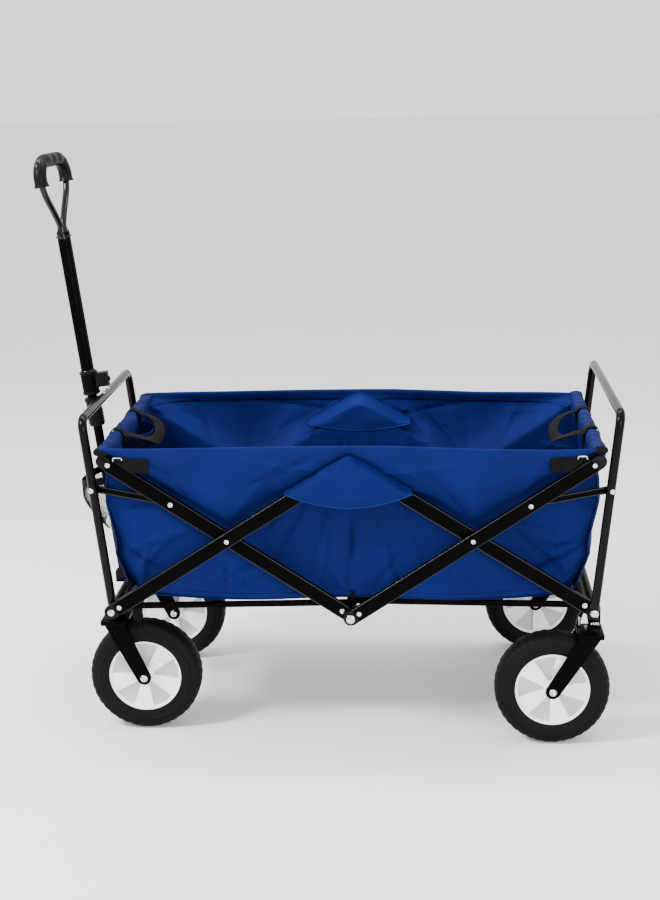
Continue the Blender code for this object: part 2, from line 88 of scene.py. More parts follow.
HUB_LOW = hinge("fold")
HUB_HIGH = hinge("box_hinge")
MID_X = HUB_LOW.x
CROSS = {-1: hinge("front_cross_hinge"), 1: hinge("back_cross_hinge")}
FOOT = {-1: hinge("front_frame_hinge"), 1: hinge("back_frame_hinge")}
LINK_PIN = {-1: hinge("front_link_hinge"), 1: hinge("back_link_hinge")}
END_TUBE = {-1: middle("front_end_tube"), 1: middle("back_end_tube")}
BAR_HALF_Y = 6.0
BAR_HALF = 12.0
LAYER_STEP = 14.0
INNER_Y = BAR_HALF_Y - node_box("front_inner_bar_near")[1].y
OUTER_Y = INNER_Y + LAYER_STEP
OUTER_FACE = OUTER_Y + BAR_HALF_Y
INNER_FACE = INNER_Y + BAR_HALF_Y
CLOTH_FACE = abs(node_box("side_panel_near")[0].y)
FLOOR_Z = node_box("floor_panel")[0].z
ROLL_R = (node_box("front_rim_sleeve")[1].z - node_box("front_rim_sleeve")[0].z) / 2

# ---------------------------------------------------------------- meshes


def to_mesh(name, points, faces, uvs=None):
    mesh = bpy.data.meshes.new(name)
    mesh.from_pydata([tuple(c * MM for c in p) for p in points], [], faces)
    if uvs is not None:
        layer = mesh.uv_layers.new(name="cut")
        for loop in mesh.loops:
            layer.data[loop.index].uv = [c * MM for c in uvs[loop.vertex_index]]
    mesh.validate()
    return mesh


def add_object(name, data):
    made = bpy.data.objects.new(name, data)
    bpy.context.scene.collection.objects.link(made)
    return made


def at(dx, y, z):
    """A point at dx from the wagon's middle."""
    return Vector((MID_X + dx, y, z))


def face_out(mesh):
    bm = bmesh.new()
    bm.from_mesh(mesh)
    bmesh.ops.recalc_face_normals(bm, faces=bm.faces)
    bm.to_mesh(mesh)
    bm.free()
    return mesh


def join(*shapes):
    """Several (points, faces) shapes as one."""
    points, faces = [], []
    for more_points, more_faces in shapes:
        base = len(points)
        points += list(more_points)
        faces += [tuple(base + i for i in face) for face in more_faces]
    return points, faces


def strips(rows, around, closed_rows=False, closed_around=True, caps=True):
    """Faces between rows of points, each row holding the same count around."""
    faces = []
    last_row = rows if closed_rows else rows - 1
    last = around if closed_around else around - 1
    for r in range(last_row):
        for k in range(last):
            a, b = r * around, ((r + 1) % rows) * around
            j = (k + 1) % around
            faces.append((a + k, a + j, b + j, b + k))
    if caps and closed_around and not closed_rows:
        faces.append(tuple(range(around)))
        faces.append(tuple(reversed(range((rows - 1) * around, rows * around))))
    return faces


def sweep(path, section, side=None, closed=False):
    """Carry a section of (across, up) points along a path. side fixes the section's across way."""
    path = [Vector(p) for p in path]
    count = len(path)
    points = []
    across = None
    for i, here in enumerate(path):
        before = path[i - 1] if closed or i else here
        after = path[(i + 1) % count] if closed or i < count - 1 else here
        along = (after - before).normalized()
        if side is not None:
            across = Vector(side)
        elif across is None:
            across = ACROSS if abs(along.y) < 0.9 else Vector((1, 0, 0))
        across = (across - along * across.dot(along)).normalized()
        up = along.cross(across)
        stretch = 1.0
        if closed or 0 < i < count - 1:
            bend = (here - before).normalized().angle((after - here).normalized(), 0.0)
            stretch = 1.0 / max(math.cos(bend / 2), 0.5)
        ring = section(i / max(count - 1, 1)) if callable(section) else section
        for a, b in ring:
            points.append(here + across * a + up * b * (1.0 if side is None else stretch))
    around = len(ring)
    return points, strips(count, around, closed_rows=closed)


def circle(radius, steps=20):
    angles = [2 * math.pi * k / steps for k in range(steps)]
    return [(radius * math.cos(a), radius * math.sin(a)) for a in angles]


def rounded_rectangle(half_a, half_b, radius, steps=4):
    out = []
    for quarter, (sa, sb) in enumerate(((1, 1), (-1, 1), (-1, -1), (1, -1))):
        for k in range(steps + 1):
            angle = math.pi / 2 * (quarter + k / steps)
            out.append((sa * (half_a - radius) + radius * math.cos(angle),
                        sb * (half_b - radius) + radius * math.sin(angle)))
    return out


def bent(corners, radius, steps=8):
    """A path through corners, each inner one rounded to a radius."""
    corners = [Vector(c) for c in corners]
    out = [corners[0]]
    for i, (before, here, after) in enumerate(zip(corners, corners[1:], corners[2:])):
        size = radius[i] if isinstance(radius, (list, tuple)) else radius
        a, b = (before - here).normalized(), (after - here).normalized()
        angle = a.angle(b)
        reach = size / math.tan(angle / 2)
        centre = here + (a + b).normalized() * (size / math.sin(angle / 2))
        for k in range(steps + 1):
            spot = (here + a * reach).lerp(here + b * reach, k / steps)
            out.append(centre + (spot - centre).normalized() * size)
    out.append(corners[-1])
    return out


def smooth_path(points, per_span=6):
    """A Catmull-Rom curve through points."""
    points = [Vector(p) for p in points]
    ends = [points[0] * 2 - points[1]] + points + [points[-1] * 2 - points[-2]]
    out = []
    for a, b, c, d in zip(ends, ends[1:], ends[2:], ends[3:]):
        for k in range(per_span):
            t = k / per_span
            out.append(0.5 * (2 * b + (c - a) * t + (2 * a - 5 * b + 4 * c - d) * t ** 2
                              + (3 * b - a - 3 * c + d) * t ** 3))
    out.append(points[-1])
    return out


def basis(axis):
    axis = Vector(axis).normalized()
    guess = UP if abs(axis.z) < 0.9 else Vector((1, 0, 0))
    first = (guess - axis * guess.dot(axis)).normalized()
    return axis, first, axis.cross(first)


def turned(profile, centre, axis=ACROSS, steps=32, closed=False):
    """Turn a profile of (radius, along) about an axis. An open one is closed by points on the axis."""
    axis, first, second = basis(axis)
    centre = Vector(centre)
    points, rings = [], []
    for radius, along in profile:
        if radius < 1e-6:
            rings.append([len(points)] * steps)
            points.append(centre + axis * along)
            continue
        rings.append(list(range(len(points), len(points) + steps)))
        for k in range(steps):
            angle = 2 * math.pi * k / steps
            spoke = first * math.cos(angle) + second * math.sin(angle)
            points.append(centre + axis * along + spoke * radius)
    faces = []
    pairs = list(zip(rings, rings[1:])) + ([(rings[-1], rings[0])] if closed else [])
    for one, two in pairs:
        for k in range(steps):
            j = (k + 1) % steps
            face = list(dict.fromkeys((one[k], one[j], two[j], two[k])))
            if len(face) > 2:
                faces.append(tuple(face))
    return points, faces


def slab(outline, low, high, bevel=0.0, segments=2):
    """An outline of (x, z) points given thickness in y, with its rims bevelled."""
    bm = bmesh.new()
    lower = [bm.verts.new((x, low, z)) for x, z in outline]
    upper = [bm.verts.new((x, high, z)) for x, z in outline]
    count = len(outline)
    rims = [bm.faces.new(lower), bm.faces.new(list(reversed(upper)))]
    for k in range(count):
        j = (k + 1) % count
        bm.faces.new((lower[k], upper[k], upper[j], lower[j]))
    if bevel:
        edges = list({e for f in rims for e in f.edges})
        bmesh.ops.bevel(bm, geom=edges, offset=bevel, segments=segments, profile=0.5, affect="EDGES")
    bm.verts.index_update()
    points = [v.co.copy() for v in bm.verts]
    faces = [tuple(v.index for v in f.verts) for f in bm.faces]
    bm.free()
    return points, faces


def arc(centre_x, centre_z, radius, start, end, steps=10):
    angles = [start + (end - start) * k / steps for k in range(steps + 1)]
    return [(centre_x + radius * math.cos(a), centre_z + radius * math.sin(a)) for a in angles]


def stadium(a, b, radius, radius_b=None, steps=10):
    """Outline of a bar with round ends, both (x, z)."""
    angle = math.atan2(b[1] - a[1], b[0] - a[0])
    other = radius if radius_b is None else radius_b
    half = math.pi / 2
    return (arc(b[0], b[1], other, angle - half, angle + half, steps)
            + arc(a[0], a[1], radius, angle + half, angle + 3 * half, steps))


# ---------------------------------------------------------------- pieces


def add_piece(name, shape, look, body, stands_for=(), angle=35.0, uvs=None, closed=True):
    mesh = to_mesh(name, *shape, uvs=uvs)
    if closed:
        face_out(mesh)
    made = add_object(name, mesh)
    mesh.materials.append(look)
    mesh.shade_smooth()
    mesh.set_sharp_from_angle(angle=math.radians(angle))
    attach(made, body)
    if stands_for:
        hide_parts(*stands_for)
    return made


# ---------------------------------------------------------------- materials


def shader_of(made):
    return made.node_tree.nodes["Principled BSDF"]


def new_material(name, colour, roughness, metallic=0.0, specular=0.5):
    made = bpy.data.materials.new(name)
    made.use_nodes = True
    values = {"Base Color": (*colour, 1.0), "Roughness": roughness, "Metallic": metallic,
              "Specular IOR Level": specular}
    for socket, value in values.items():
        shader_of(made).inputs[socket].default_value = value
    return made


def node(made, kind, inputs=None, **settings):
    """Add a shader node. Sockets given as inputs are linked, and plain values are set."""
    tree = made.node_tree
    added = tree.nodes.new("ShaderNode" + kind)
    for key, value in settings.items():
        setattr(added, key, value)
    for key, value in (inputs or {}).items():
        if isinstance(value, bpy.types.NodeSocket):
            tree.links.new(value, added.inputs[key])
        else:
            added.inputs[key].default_value = value
    return added


def dress(made, colour, roughness, normal):
    """Link a material's colour, roughness and normal, each unless it is None."""
    for socket, output in (("Base Color", colour), ("Roughness", roughness), ("Normal", normal)):
        if output is not None:
            made.node_tree.links.new(output, shader_of(made).inputs[socket])
    return made


def noise(made, scale, detail=3.0, roughness=0.55):
    vector = node(made, "TexCoord").outputs["Object"]
    inputs = {"Vector": vector, "Scale": scale, "Detail": detail, "Roughness": roughness}
    return node(made, "TexNoise", inputs).outputs["Fac"]


def wave(made, pitch, direction, **inputs):
    """Bands along the cloth's own cut, a pitch apart."""
    inputs = {key.replace("_", " "): value for key, value in inputs.items()}
    inputs["Vector"] = node(made, "UVMap", uv_map="cut").outputs["UV"]
    inputs["Scale"] = 2 * math.pi / (20.0 * pitch * MM)
    return node(made, "TexWave", inputs, bands_direction=direction).outputs["Fac"]


def combine(made, operation, a, b):
    return node(made, "Math", {0: a, 1: b}, operation=operation).outputs["Value"]


def ramp(made, factor, low, high, at_low=0.3, at_high=0.7):
    """A colour that runs from low to high as the factor passes between two places."""
    made_ramp = node(made, "ValToRGB", {"Fac": factor})
    for stop, colour, place in zip(made_ramp.color_ramp.elements, (low, high), (at_low, at_high)):
        stop.color = (*colour, 1.0)
        stop.position = place
    return made_ramp.outputs["Color"]


def span(made, factor, low, high):
    return node(made, "MapRange", {"Value": factor, "To Min": low, "To Max": high}).outputs["Result"]


def shade(colour, factor):
    return tuple(min(1.0, c * factor) for c in colour)


def bump(made, height, distance, strength, under=None):
    inputs = {"Height": height, "Distance": distance * MM, "Strength": strength}
    if under is not None:
        inputs["Normal"] = under
    return node(made, "Bump", inputs).outputs["Normal"]


def woven(name, colour):
    """Plain-weave cloth: two thread directions at a real pitch, uneven dye and soft creases."""
    pitch, roughness, crease = 1.1, 0.72, 2.4
    made = new_material(name, colour, roughness, specular=0.08)
    sheen = {"Weight": 0.03, "Roughness": 0.45, "Tint": (*shade(colour, 2.2), 1.0)}
    for key, value in sheen.items():
        shader_of(made).inputs["Sheen " + key].default_value = value
    warp, weft = (wave(made, pitch, way, Distortion=0.6, Detail=1.0, Detail_Scale=2.0) for way in "XY")
    threads = combine(made, "MULTIPLY", warp, weft)
    fine = noise(made, 260.0, 2.0)
    body = ramp(made, noise(made, 9.0, 4.0), shade(colour, 0.86), shade(colour, 1.14), 0.35, 0.68)
    grain = combine(made, "MULTIPLY", span(made, fine, 0.82, 1.18), span(made, threads, 0.9, 1.12))
    tinted = node(made, "VectorMath", {0: body}, operation="SCALE")
    made.node_tree.links.new(grain, tinted.inputs["Scale"])
    creased = bump(made, noise(made, 38.0, 3.0, 0.6), crease, 0.8)
    return dress(made, tinted.outputs["Vector"], span(made, fine, roughness - 0.08, roughness + 0.1),
                 bump(made, threads, 0.12, 0.5, creased))


def painted(name, colour, roughness, specular, worn=(0.02, 0.02, 0.022)):
    """Sprayed paint on steel: orange peel, faint dust and small scuffs."""
    made = new_material(name, colour, roughness, specular=specular)
    return dress(made, ramp(made, noise(made, 130.0, 6.0, 0.75), colour, worn, 0.66, 0.8),
                 span(made, noise(made, 22.0, 5.0, 0.65), roughness - 0.08, roughness + 0.14),
                 bump(made, noise(made, 520.0, 2.0), 0.04, 0.5))


def moulded(name, colour, roughness, grain=0.08, scale=900.0, specular=0.5):
    """Moulded plastic with a fine spark-eroded grain."""
    made = new_material(name, colour, roughness, specular=specular)
    fine = noise(made, scale, 2.0)
    return dress(made, ramp(made, noise(made, 30.0), shade(colour, 0.9), shade(colour, 1.08)),
                 span(made, fine, roughness - 0.06, roughness + 0.08), bump(made, fine, grain, 0.4))


def plated(name, colour, roughness):
    made = new_material(name, colour, roughness, 1.0)
    streak = noise(made, 420.0, 4.0)
    return dress(made, ramp(made, streak, shade(colour, 0.88), shade(colour, 1.06)),
                 span(made, streak, roughness - 0.08, roughness + 0.12), bump(made, streak, 0.03, 0.4))


def rubbery(name, colour):
    made = new_material(name, colour, 0.62, specular=0.09)
    bloom = noise(made, 26.0, 5.0, 0.7)
    return dress(made, ramp(made, bloom, colour, shade(colour, 1.8), 0.42, 0.8),
                 span(made, bloom, 0.5, 0.78), bump(made, noise(made, 480.0), 0.12, 0.5))


def webbing(name, colour):
    """Flat woven webbing: ribs across the strap and two finer ridges along it."""
    made = new_material(name, colour, 0.75, specular=0.07)
    height = combine(made, "ADD", wave(made, 1.6, "X"), wave(made, 3.2, "Y"))
    worn = noise(made, 60.0, 4.0)
    return dress(made, ramp(made, worn, colour, shade(colour, 2.2)), span(made, worn, 0.6, 0.85),
                 bump(made, height, 0.22, 0.7))


BLUE = woven("blue_oxford", (0.0011, 0.0058, 0.071))
PAINT = painted("black_paint", (0.0008, 0.0008, 0.0009), 0.3, 0.02, (0.006, 0.006, 0.0065))
# A lighter, glossier copy of the black paint: painted highlights along the bars' rounded edges, the links'
# lips and the handle's tube rings.
HIGHLIGHT_PAINT = painted("highlight_paint", (0.004, 0.004, 0.0042), 0.25, 0.3)
LOOP_PAINT = painted("loop_paint", (0.0014, 0.0014, 0.0015), 0.2, 0.25)
GLOSS = painted("gloss_paint", (0.0012, 0.0012, 0.0013), 0.16, 0.1)
PLASTIC = moulded("moulded_plastic", (0.0016, 0.0016, 0.0017), 0.4, specular=0.1)
STEEL = plated("bright_steel", (0.6, 0.6, 0.61), 0.2)
RUBBER = rubbery("tyre_rubber", (0.0018, 0.0018, 0.0019))
DISC_WHITE = moulded("disc_white", (0.9, 0.9, 0.89), 0.4, 0.04)
# A darker copy of the disc's white plastic: painted shade for the sunk web between the raised plates.
DISC_SHADE = moulded("disc_painted_shade", (0.44, 0.45, 0.46), 0.38, 0.04)
WEBBING = webbing("black_webbing", (0.0014, 0.0014, 0.0014))
NET = moulded("black_net", (0.003, 0.003, 0.003), 0.6, specular=0.15)
WEBBING_PLAIN = moulded("black_binding", (0.002, 0.002, 0.002), 0.75, 0.2, 400.0, 0.1)
# A lighter blue than the cloth: a painted highlight along the flaps' rolled hems.
PIPING_HIGHLIGHT = woven("blue_piping_highlight", (0.003, 0.015, 0.13))
THREAD = moulded("blue_thread", (0.001, 0.005, 0.045), 0.6, specular=0.2)

# ---------------------------------------------------------------- rivets and bars


def dome(x, y, z, side, radius, height):
    """A rivet's round head on a face that looks along side * Y."""
    profile = [(radius, -0.6), (radius, 0.15 * height)]
    for k in range(1, 6):
        angle = math.pi / 2 * k / 6
        profile.append((radius * math.cos(angle), height * (0.15 + 0.85 * math.sin(angle))))
    rim = 0.36 * radius
    profile = [point for point in profile if point[0] > rim]
    profile += [(rim, height * 0.96), (0.8 * rim, height * 0.82), (0, height * 0.78)]
    return turned([(0, -0.6)] + profile, (x, y, z), (0, side, 0), 20)


PROUD, LOW, FLUSH = 2.3, 1.4, 0.3  # heights of rivet heads
LINK_R = 6.0


def bolt(spot, side, inner, outer, radius, height, shank=4.0):
    """A pin from the inner to the outer face, with a round head at each end."""
    x, z = spot.x, spot.z
    shape = turned([(0, inner), (shank, inner), (shank, outer), (0, outer)], (x, 0, z), (0, side, 0), 14)
    return join(shape, dome(x, side * outer, z, side, radius, height),
                dome(x, side * inner, z, -side, radius, LOW))


def along(a, b, distance):
    """The point at a distance from a towards b, as (x, z)."""
    direction = (Vector((b.x, b.z)) - Vector((a.x, a.z))).normalized()
    return a.x + direction.x * distance, a.z + direction.y * distance


FIXING = 17.0  # from an end pivot to the rivet that holds its plastic fitting
TOP_FIXING = 10.5  # the same at an end tube
RIVET_R = 4.3
CAP_REACH = 10.5  # from an end pivot to where the steel tube of the bar starts


def bar_shapes(a, b, side, centre_y, end_radius):
    """A bar's flat-oval steel tube and its two plastic end fittings."""
    y = side * centre_y
    path = [(x, y, z) for x, z in (along(a, b, CAP_REACH), along(b, a, CAP_REACH))]
    tube = sweep(path, rounded_rectangle(BAR_HALF_Y, BAR_HALF, 3.4, 4), side=ACROSS)
    low, high = y - BAR_HALF_Y + 0.25, y + BAR_HALF_Y - 0.25
    caps = []
    for pivot, other, radius in ((a, b, BAR_HALF - 0.2), (b, a, end_radius - 0.2)):
        x, z = along(pivot, other, CAP_REACH + 4.0)
        direction = math.atan2(pivot.z - z, pivot.x - x)
        half = math.pi / 2
        outline = arc(pivot.x, pivot.z, radius, direction - half, direction + half, 14)
        width = Vector((-math.sin(direction), math.cos(direction))) * (BAR_HALF - 0.2)
        outline += [(x + width.x, z + width.y), (x - width.x, z - width.y)]
        caps.append(slab(outline, low, high, 2.4, 3))
    return tube, join(*caps)


def bar_edge_highlights(a, b, y):
    """Painted highlights along the two rounded outer edges of a bar's tube: beads just proud of it, in a
    lighter paint.
    """
    ends = along(a, b, CAP_REACH + 1.0), along(b, a, CAP_REACH + 1.0)
    run, rise = ends[1][0] - ends[0][0], ends[1][1] - ends[0][1]
    beads = []
    for off in (1.1 - BAR_HALF, BAR_HALF - 1.1):
        off /= math.hypot(run, rise)
        beads.append(sweep([(x - rise * off, y, z + run * off) for x, z in ends], circle(0.9, 12)))
    return join(*beads)


def link_arm(end, tag):
    """A short link's inner pin, on the rising bar."""
    low, high = node_box("short_link_" + tag)
    return Vector((low.x + LINK_R if end > 0 else high.x - LINK_R, 0, low.z + LINK_R))


def make_bars():
    hub_top = Vector((HUB_HIGH.x, 0, HUB_HIGH.z - 4.0))
    for side, near_far, end, place in CORNERS:
        fall, rise = (OUTER_Y, INNER_Y) if end < 0 else (INNER_Y, OUTER_Y)
        layers = (("falling", fall, FOOT[end], hub_top, BAR_HALF),
                  ("rising", rise, HUB_LOW, END_TUBE[end], 11.0))
        for word, layer_y, a, b, end_radius in layers:
            body = f"{place}_{word}_arms"
            outer = layer_y == OUTER_Y
            cad = f"{place}_{'outer' if outer else 'inner'}_bar_{near_far}"
            tag = f"{place}_{word}_bar_{near_far}"
            tube, caps = bar_shapes(a, b, side, layer_y, end_radius)
            face = layer_y + BAR_HALF_Y
            add_piece(tag, tube, PAINT, body, (cad,))
            add_piece(tag + "_fittings", caps, PLASTIC, body)
            # Beads in the lighter paint: painted highlights along the bar's rounded edges.
            add_piece(tag + "_edges", bar_edge_highlights(a, b, side * (face - 1.3)), HIGHLIGHT_PAINT, body)
            flush = end > 0 and word == "falling"
            height = FLUSH if flush else PROUD if outer else LOW
            spots = [along(a, b, FIXING), along(b, a, TOP_FIXING if b is END_TUBE[end] else FIXING)]
            heads = [dome(x, side * face, z, side, RIVET_R, height) for x, z in spots]
            if word == "rising":
                arm = link_arm(end, f"{place}_{near_far}")
                heads.append(dome(arm.x, side * face, arm.z, side, RIVET_R, PROUD if end > 0 else LOW))
            if outer:
                heads.append(bolt(CROSS[end], side, INNER_Y - 6.4, OUTER_FACE, RIVET_R, 2.6))
            if outer and end < 0:
                heads.append(bolt(HUB_HIGH, side, INNER_Y - 6.4, OUTER_FACE, 6.0, 2.4))
            add_piece(tag + "_rivets", join(*heads), STEEL, body)


def make_links():
    """Short pressed-steel links, each with two stiffening lips, and their pins through the hoops."""
    for side, near_far, end, place in CORNERS:
        name = f"short_link_{place}_{near_far}"
        body = place + "_links"
        pin, arm = LINK_PIN[end], link_arm(end, f"{place}_{near_far}")
        hoop_y = INNER_Y if end < 0 else OUTER_Y
        y = hoop_y - 9.8
        outline = stadium((pin.x, pin.z), (arm.x, arm.z), LINK_R)
        plate = slab(outline, side * y - 1.6, side * y + 1.6, 0.7, 2)
        normal = Vector((pin.z - arm.z, 0, arm.x - pin.x)).normalized()
        ends = [Vector((x, side * (y + 1.0), z)) for x, z in (along(pin, arm, 12.0), along(arm, pin, 12.0))]
        section = rounded_rectangle(1.0, 1.1, 0.8, 3)
        lips = [sweep([spot + normal * lift for spot in ends], section, side=ACROSS) for lift in (-4.6, 4.6)]
        add_piece(name + "_look", plate, PAINT, body, (name,))
        # The lips are real stiffening ridges. Their lighter paint is a painted highlight.
        add_piece(name + "_lips", join(*lips), HIGHLIGHT_PAINT, body)
        add_piece(name + "_pin", bolt(pin, side, y + 1.6, hoop_y + 7.9, 4.5, 2.6, 3.0), STEEL, body)


def make_hoops():
    radius = 7.5
    for end, place in ENDS:
        name, body = place + "_hoop", place + "_frame"
        low, high = node_box(name)
        y, top_z = high.y - radius, high.z - radius
        top_x = high.x - radius if end > 0 else low.x + radius
        slope = (top_x - FOOT[end].x) / (top_z - FOOT[end].z)
        x, z = FOOT[end].x - slope * 9.0, FOOT[end].z - 9.0
        path = bent([(x, -y, z), (top_x, -y, top_z), (top_x, y, top_z), (x, y, z)], 18.0, 9)
        add_piece(name + "_tube", sweep(path, circle(radius, 24)), GLOSS, body, (name,))
        plug = [(0, 3.0), (6.6, 3.0), (7.9, 1.6), (7.9, -1.4), (6.4, -2.6), (0, -2.6)]
        plugs = [turned(plug, (x, side * y, z), (slope, 0, 1), 24) for side in (-1, 1)]
        add_piece(name + "_feet", join(*plugs), PLASTIC, body)
    make_catch_rivets(radius)


def make_catch_rivets(hoop_radius):
    """Two rivets on the front hoop's crown, where the handle's catch plate is fixed."""
    low, high = node_box("front_hoop")
    head = [(0, -1.0), (3.4, -1.0), (3.2, 0.6), (2.0, 1.7), (0, 2.0)]
    heads = [turned(head, (low.x + hoop_radius, y, high.z - 0.4), UP, 16) for y in (-20.0, 20.0)]
    add_piece("front_hoop_catch_rivets", join(*heads), STEEL, "front_frame")


def make_cross_tubes():
    """The tubes across the wagon, with the big pivot bolts on their ends."""
    rows = (
        ("front_crossbar", "front_frame", FOOT[-1], 202.6, 229.0, 6.8),
        ("back_crossbar", "back_frame", FOOT[1], 204.4, 232.0, 6.8),
        ("hub_tube", "hub", HUB_LOW, 204.4, OUTER_FACE, 7.6),
        ("front_end_tube", "front_rising_arms", END_TUBE[-1], 204.4, INNER_FACE, 4.6),
        ("back_end_tube", "back_rising_arms", END_TUBE[1], 204.4, OUTER_FACE, 4.6),
    )
    for name, body, spot, half, face, head in rows:
        profile = [(0, -half), (6.6, -half), (8.0, 1.2 - half), (8.0, half - 1.2), (6.6, half), (0, half)]
        add_piece(name + "_look", turned(profile, (spot.x, 0, spot.z), ACROSS, 28), PAINT, body, (name,))
        look, height = (PLASTIC, 0.6) if "end_tube" in name else (STEEL, 2.8)
        ends = [bolt(spot, side, half, face, head, height) for side in (-1, 1)]
        add_piece(name + "_bolts", join(*ends), look, body)
    profile = [(0, 183.6), (8.2, 183.6), (8.8, 184.6), (8.8, 187.2), (5.0, 187.6), (5.0, 196.6),
               (13.2, 196.6), (14.0, 198.0), (14.0, 202.0), (12.0, 204.5), (11.2, 219.0), (9.6, 221.5),
               (0, 221.5)]
    x = hinge("swivel_front_near").x
    forks = [middle("wheel_fork_front_" + near_far) for _, near_far in SIDES]
    posts = [turned(profile, (x, fork.y, 0), UP, 28) for fork in forks]
    add_piece("caster_posts", join(*posts), PAINT, "front_frame")


def make_rails():
    for side, near_far, end, place in CORNERS:
        name = f"floor_rail_{place}_{near_far}"
        low, high = node_box(name)
        foot, y = FOOT[end], (low.y + high.y) / 2
        stop = (low.x + 3.0 if end > 0 else high.x - 3.0, y, 230.5)
        section = rounded_rectangle(4.0, 5.0, 1.8, 3)
        rail = sweep([(foot.x - end * 9.0, y, foot.z), stop], section, side=ACROSS)
        eye = slab(arc(foot.x, foot.z, 12.0, 0, 2 * math.pi * 27 / 28, 27), y - 4.0, y + 4.0, 1.2, 2)
        add_piece(name + "_look", join(rail, eye), PAINT, place + "_rails", (name,))


# ---------------------------------------------------------------- wheels

RIM_R = (node_box("wheel_disc_back_near")[1].z - node_box("wheel_disc_back_near")[0].z) / 2
TREAD_STEPS = 240
BLOCKS = 40
WEDGES = 5
WHEEL_TURN = {-1: math.radians(5.0), 1: math.radians(-13.0)}


def tyre_shape(centre):
    """A pneumatic-look tyre: plain sidewalls with a rib, and staggered blocks over the shoulders."""
    section = [(RIM_R - 2.6, 19.8), (RIM_R - 1.6, 21.0), (RIM_R + 0.4, 21.2), (67.5, 22.6), (70.0, 23.6),
               (74.5, 24.6), (75.4, 25.5), (77.4, 25.5), (78.3, 24.6), (82.0, 24.2), (84.6, 23.4),
               (86.2, 22.6), (88.8, 20.8), (91.0, 18.4), (92.6, 15.6), (93.5, 12.0), (93.9, 10.6),
               (94.0, 6.4), (94.1, 5.2), (94.2, 0.0)]
    section += [(r, -y) for r, y in reversed(section[:-1])]
    per_block = TREAD_STEPS // BLOCKS
    groove, shoulder = 5.3, 10.5
    points = []
    for k in range(TREAD_STEPS):
        angle = 2 * math.pi * k / TREAD_STEPS
        for r, y in section:
            lift = 0.0
            if r > 85.0 and abs(y) < groove:
                lift = 0.7 if k % 4 else 0.1
            elif r > 85.0 and abs(y) >= shoulder and (k + (per_block // 2 if y > 0 else 0)) % per_block >= 2:
                lift = 0.8 if r > 88 else 0.7
            grow = 1.03 if lift and abs(y) > 20 else 1.0
            spoke = Vector((math.sin(angle), 0, math.cos(angle))) * (r + lift)
            points.append(centre + spoke + ACROSS * (y * grow))
    return points, strips(TREAD_STEPS, len(section), closed_rows=True)


def wedge_edge(radius, sign, hub=13.5, open_at=0.37):
    """Half-angle of a wedge at a radius: its straight edges meet the hub as tangents."""
    half = 2.2 + (radius - hub) * open_at
    return sign * math.asin(min(0.9, half / radius))


def disc_shapes(centre, face_side, turn):
    """One face of a wheel disc: raised plates between sunk wedges, a rim ring and a hub boss."""
    radii = (13.5, 24.0, 36.0, 48.0, 57.5)
    outer, floor, top = radii[-1], 11.0, 16.8
    low, high = sorted((centre.y + face_side * floor, centre.y + face_side * top))
    plates = []
    for w in range(WEDGES):
        first = turn + 2 * math.pi * w / WEDGES
        second = first + 2 * math.pi / WEDGES
        outline = [(r, first + wedge_edge(r, 1)) for r in radii]
        start, stop = outline[-1][1], second + wedge_edge(outer, -1)
        outline += [(outer, start + (stop - start) * k / 8) for k in range(1, 8)]
        outline += [(r, second + wedge_edge(r, -1)) for r in reversed(radii)]
        flat = [(centre.x + r * math.sin(a), centre.z + r * math.cos(a)) for r, a in outline]
        plates.append(slab(flat, low, high, 0.9, 2))
    ring = [(outer - 0.6, floor), (outer - 0.6, 17.4), (outer + 0.8, 19.0), (RIM_R - 1.6, 19.6),
            (RIM_R - 0.2, 18.6), (RIM_R - 0.2, floor)]
    hub = [(5.8, floor), (5.8, 25.2), (11.6, 25.2), (12.8, 24.2), (13.4, 18.2), (15.4, 16.6), (15.4, floor)]
    return join(*plates, *[turned(part, centre, (0, face_side, 0), 72, closed=True) for part in (ring, hub)])


def disc_web(centre):
    """The sunk web of the disc, dished a little towards its hub. It is coloured a darker grey copy of the
    disc plastic as painted shade in the recesses.
    """
    half = [(6.0, 12.4), (16.0, 12.2), (40.0, 11.6), (52.0, 12.6), (60.0, 15.0), (RIM_R - 0.4, 15.4)]
    profile = [(r, y) for r, y in half] + [(r, -y) for r, y in reversed(half)]
    return turned(profile, centre, ACROSS, 72, closed=True)


def make_wheels():
    for side, near_far, end, place in CORNERS:
        tag = f"{place}_{near_far}"
        body = "wheel_" + tag
        centre = middle("tyre_" + tag)
        add_piece("tyre_tread_" + tag, tyre_shape(centre), RUBBER, body, ("tyre_" + tag,), 28.0)
        add_piece("disc_web_" + tag, disc_web(centre), DISC_SHADE, body, ("wheel_disc_" + tag,))
        faces = join(*[disc_shapes(centre, way, WHEEL_TURN[end]) for way in (-1, 1)])
        add_piece("disc_plates_" + tag, faces, DISC_WHITE, body)


def cheek_outline(top_a, top_b, centre, radius):
    """A fork cheek seen from the side: a straight top edge that tapers to a round axle end."""
    ends = []
    for corner, sign in ((top_b, -1.0), (top_a, 1.0)):
        gap = Vector(corner) - centre
        angle = math.atan2(gap.y, gap.x)
        ends.append(angle - sign * math.acos(radius / gap.length))
    start, stop = ends
    while stop <= start:
        stop += 2 * math.pi
    return [top_a, top_b] + arc(centre.x, centre.y, radius, start, stop, 16)


def box_outline(x0, x1, z0, z1):
    return [(x0, z0), (x1, z0), (x1, z1), (x0, z1)]


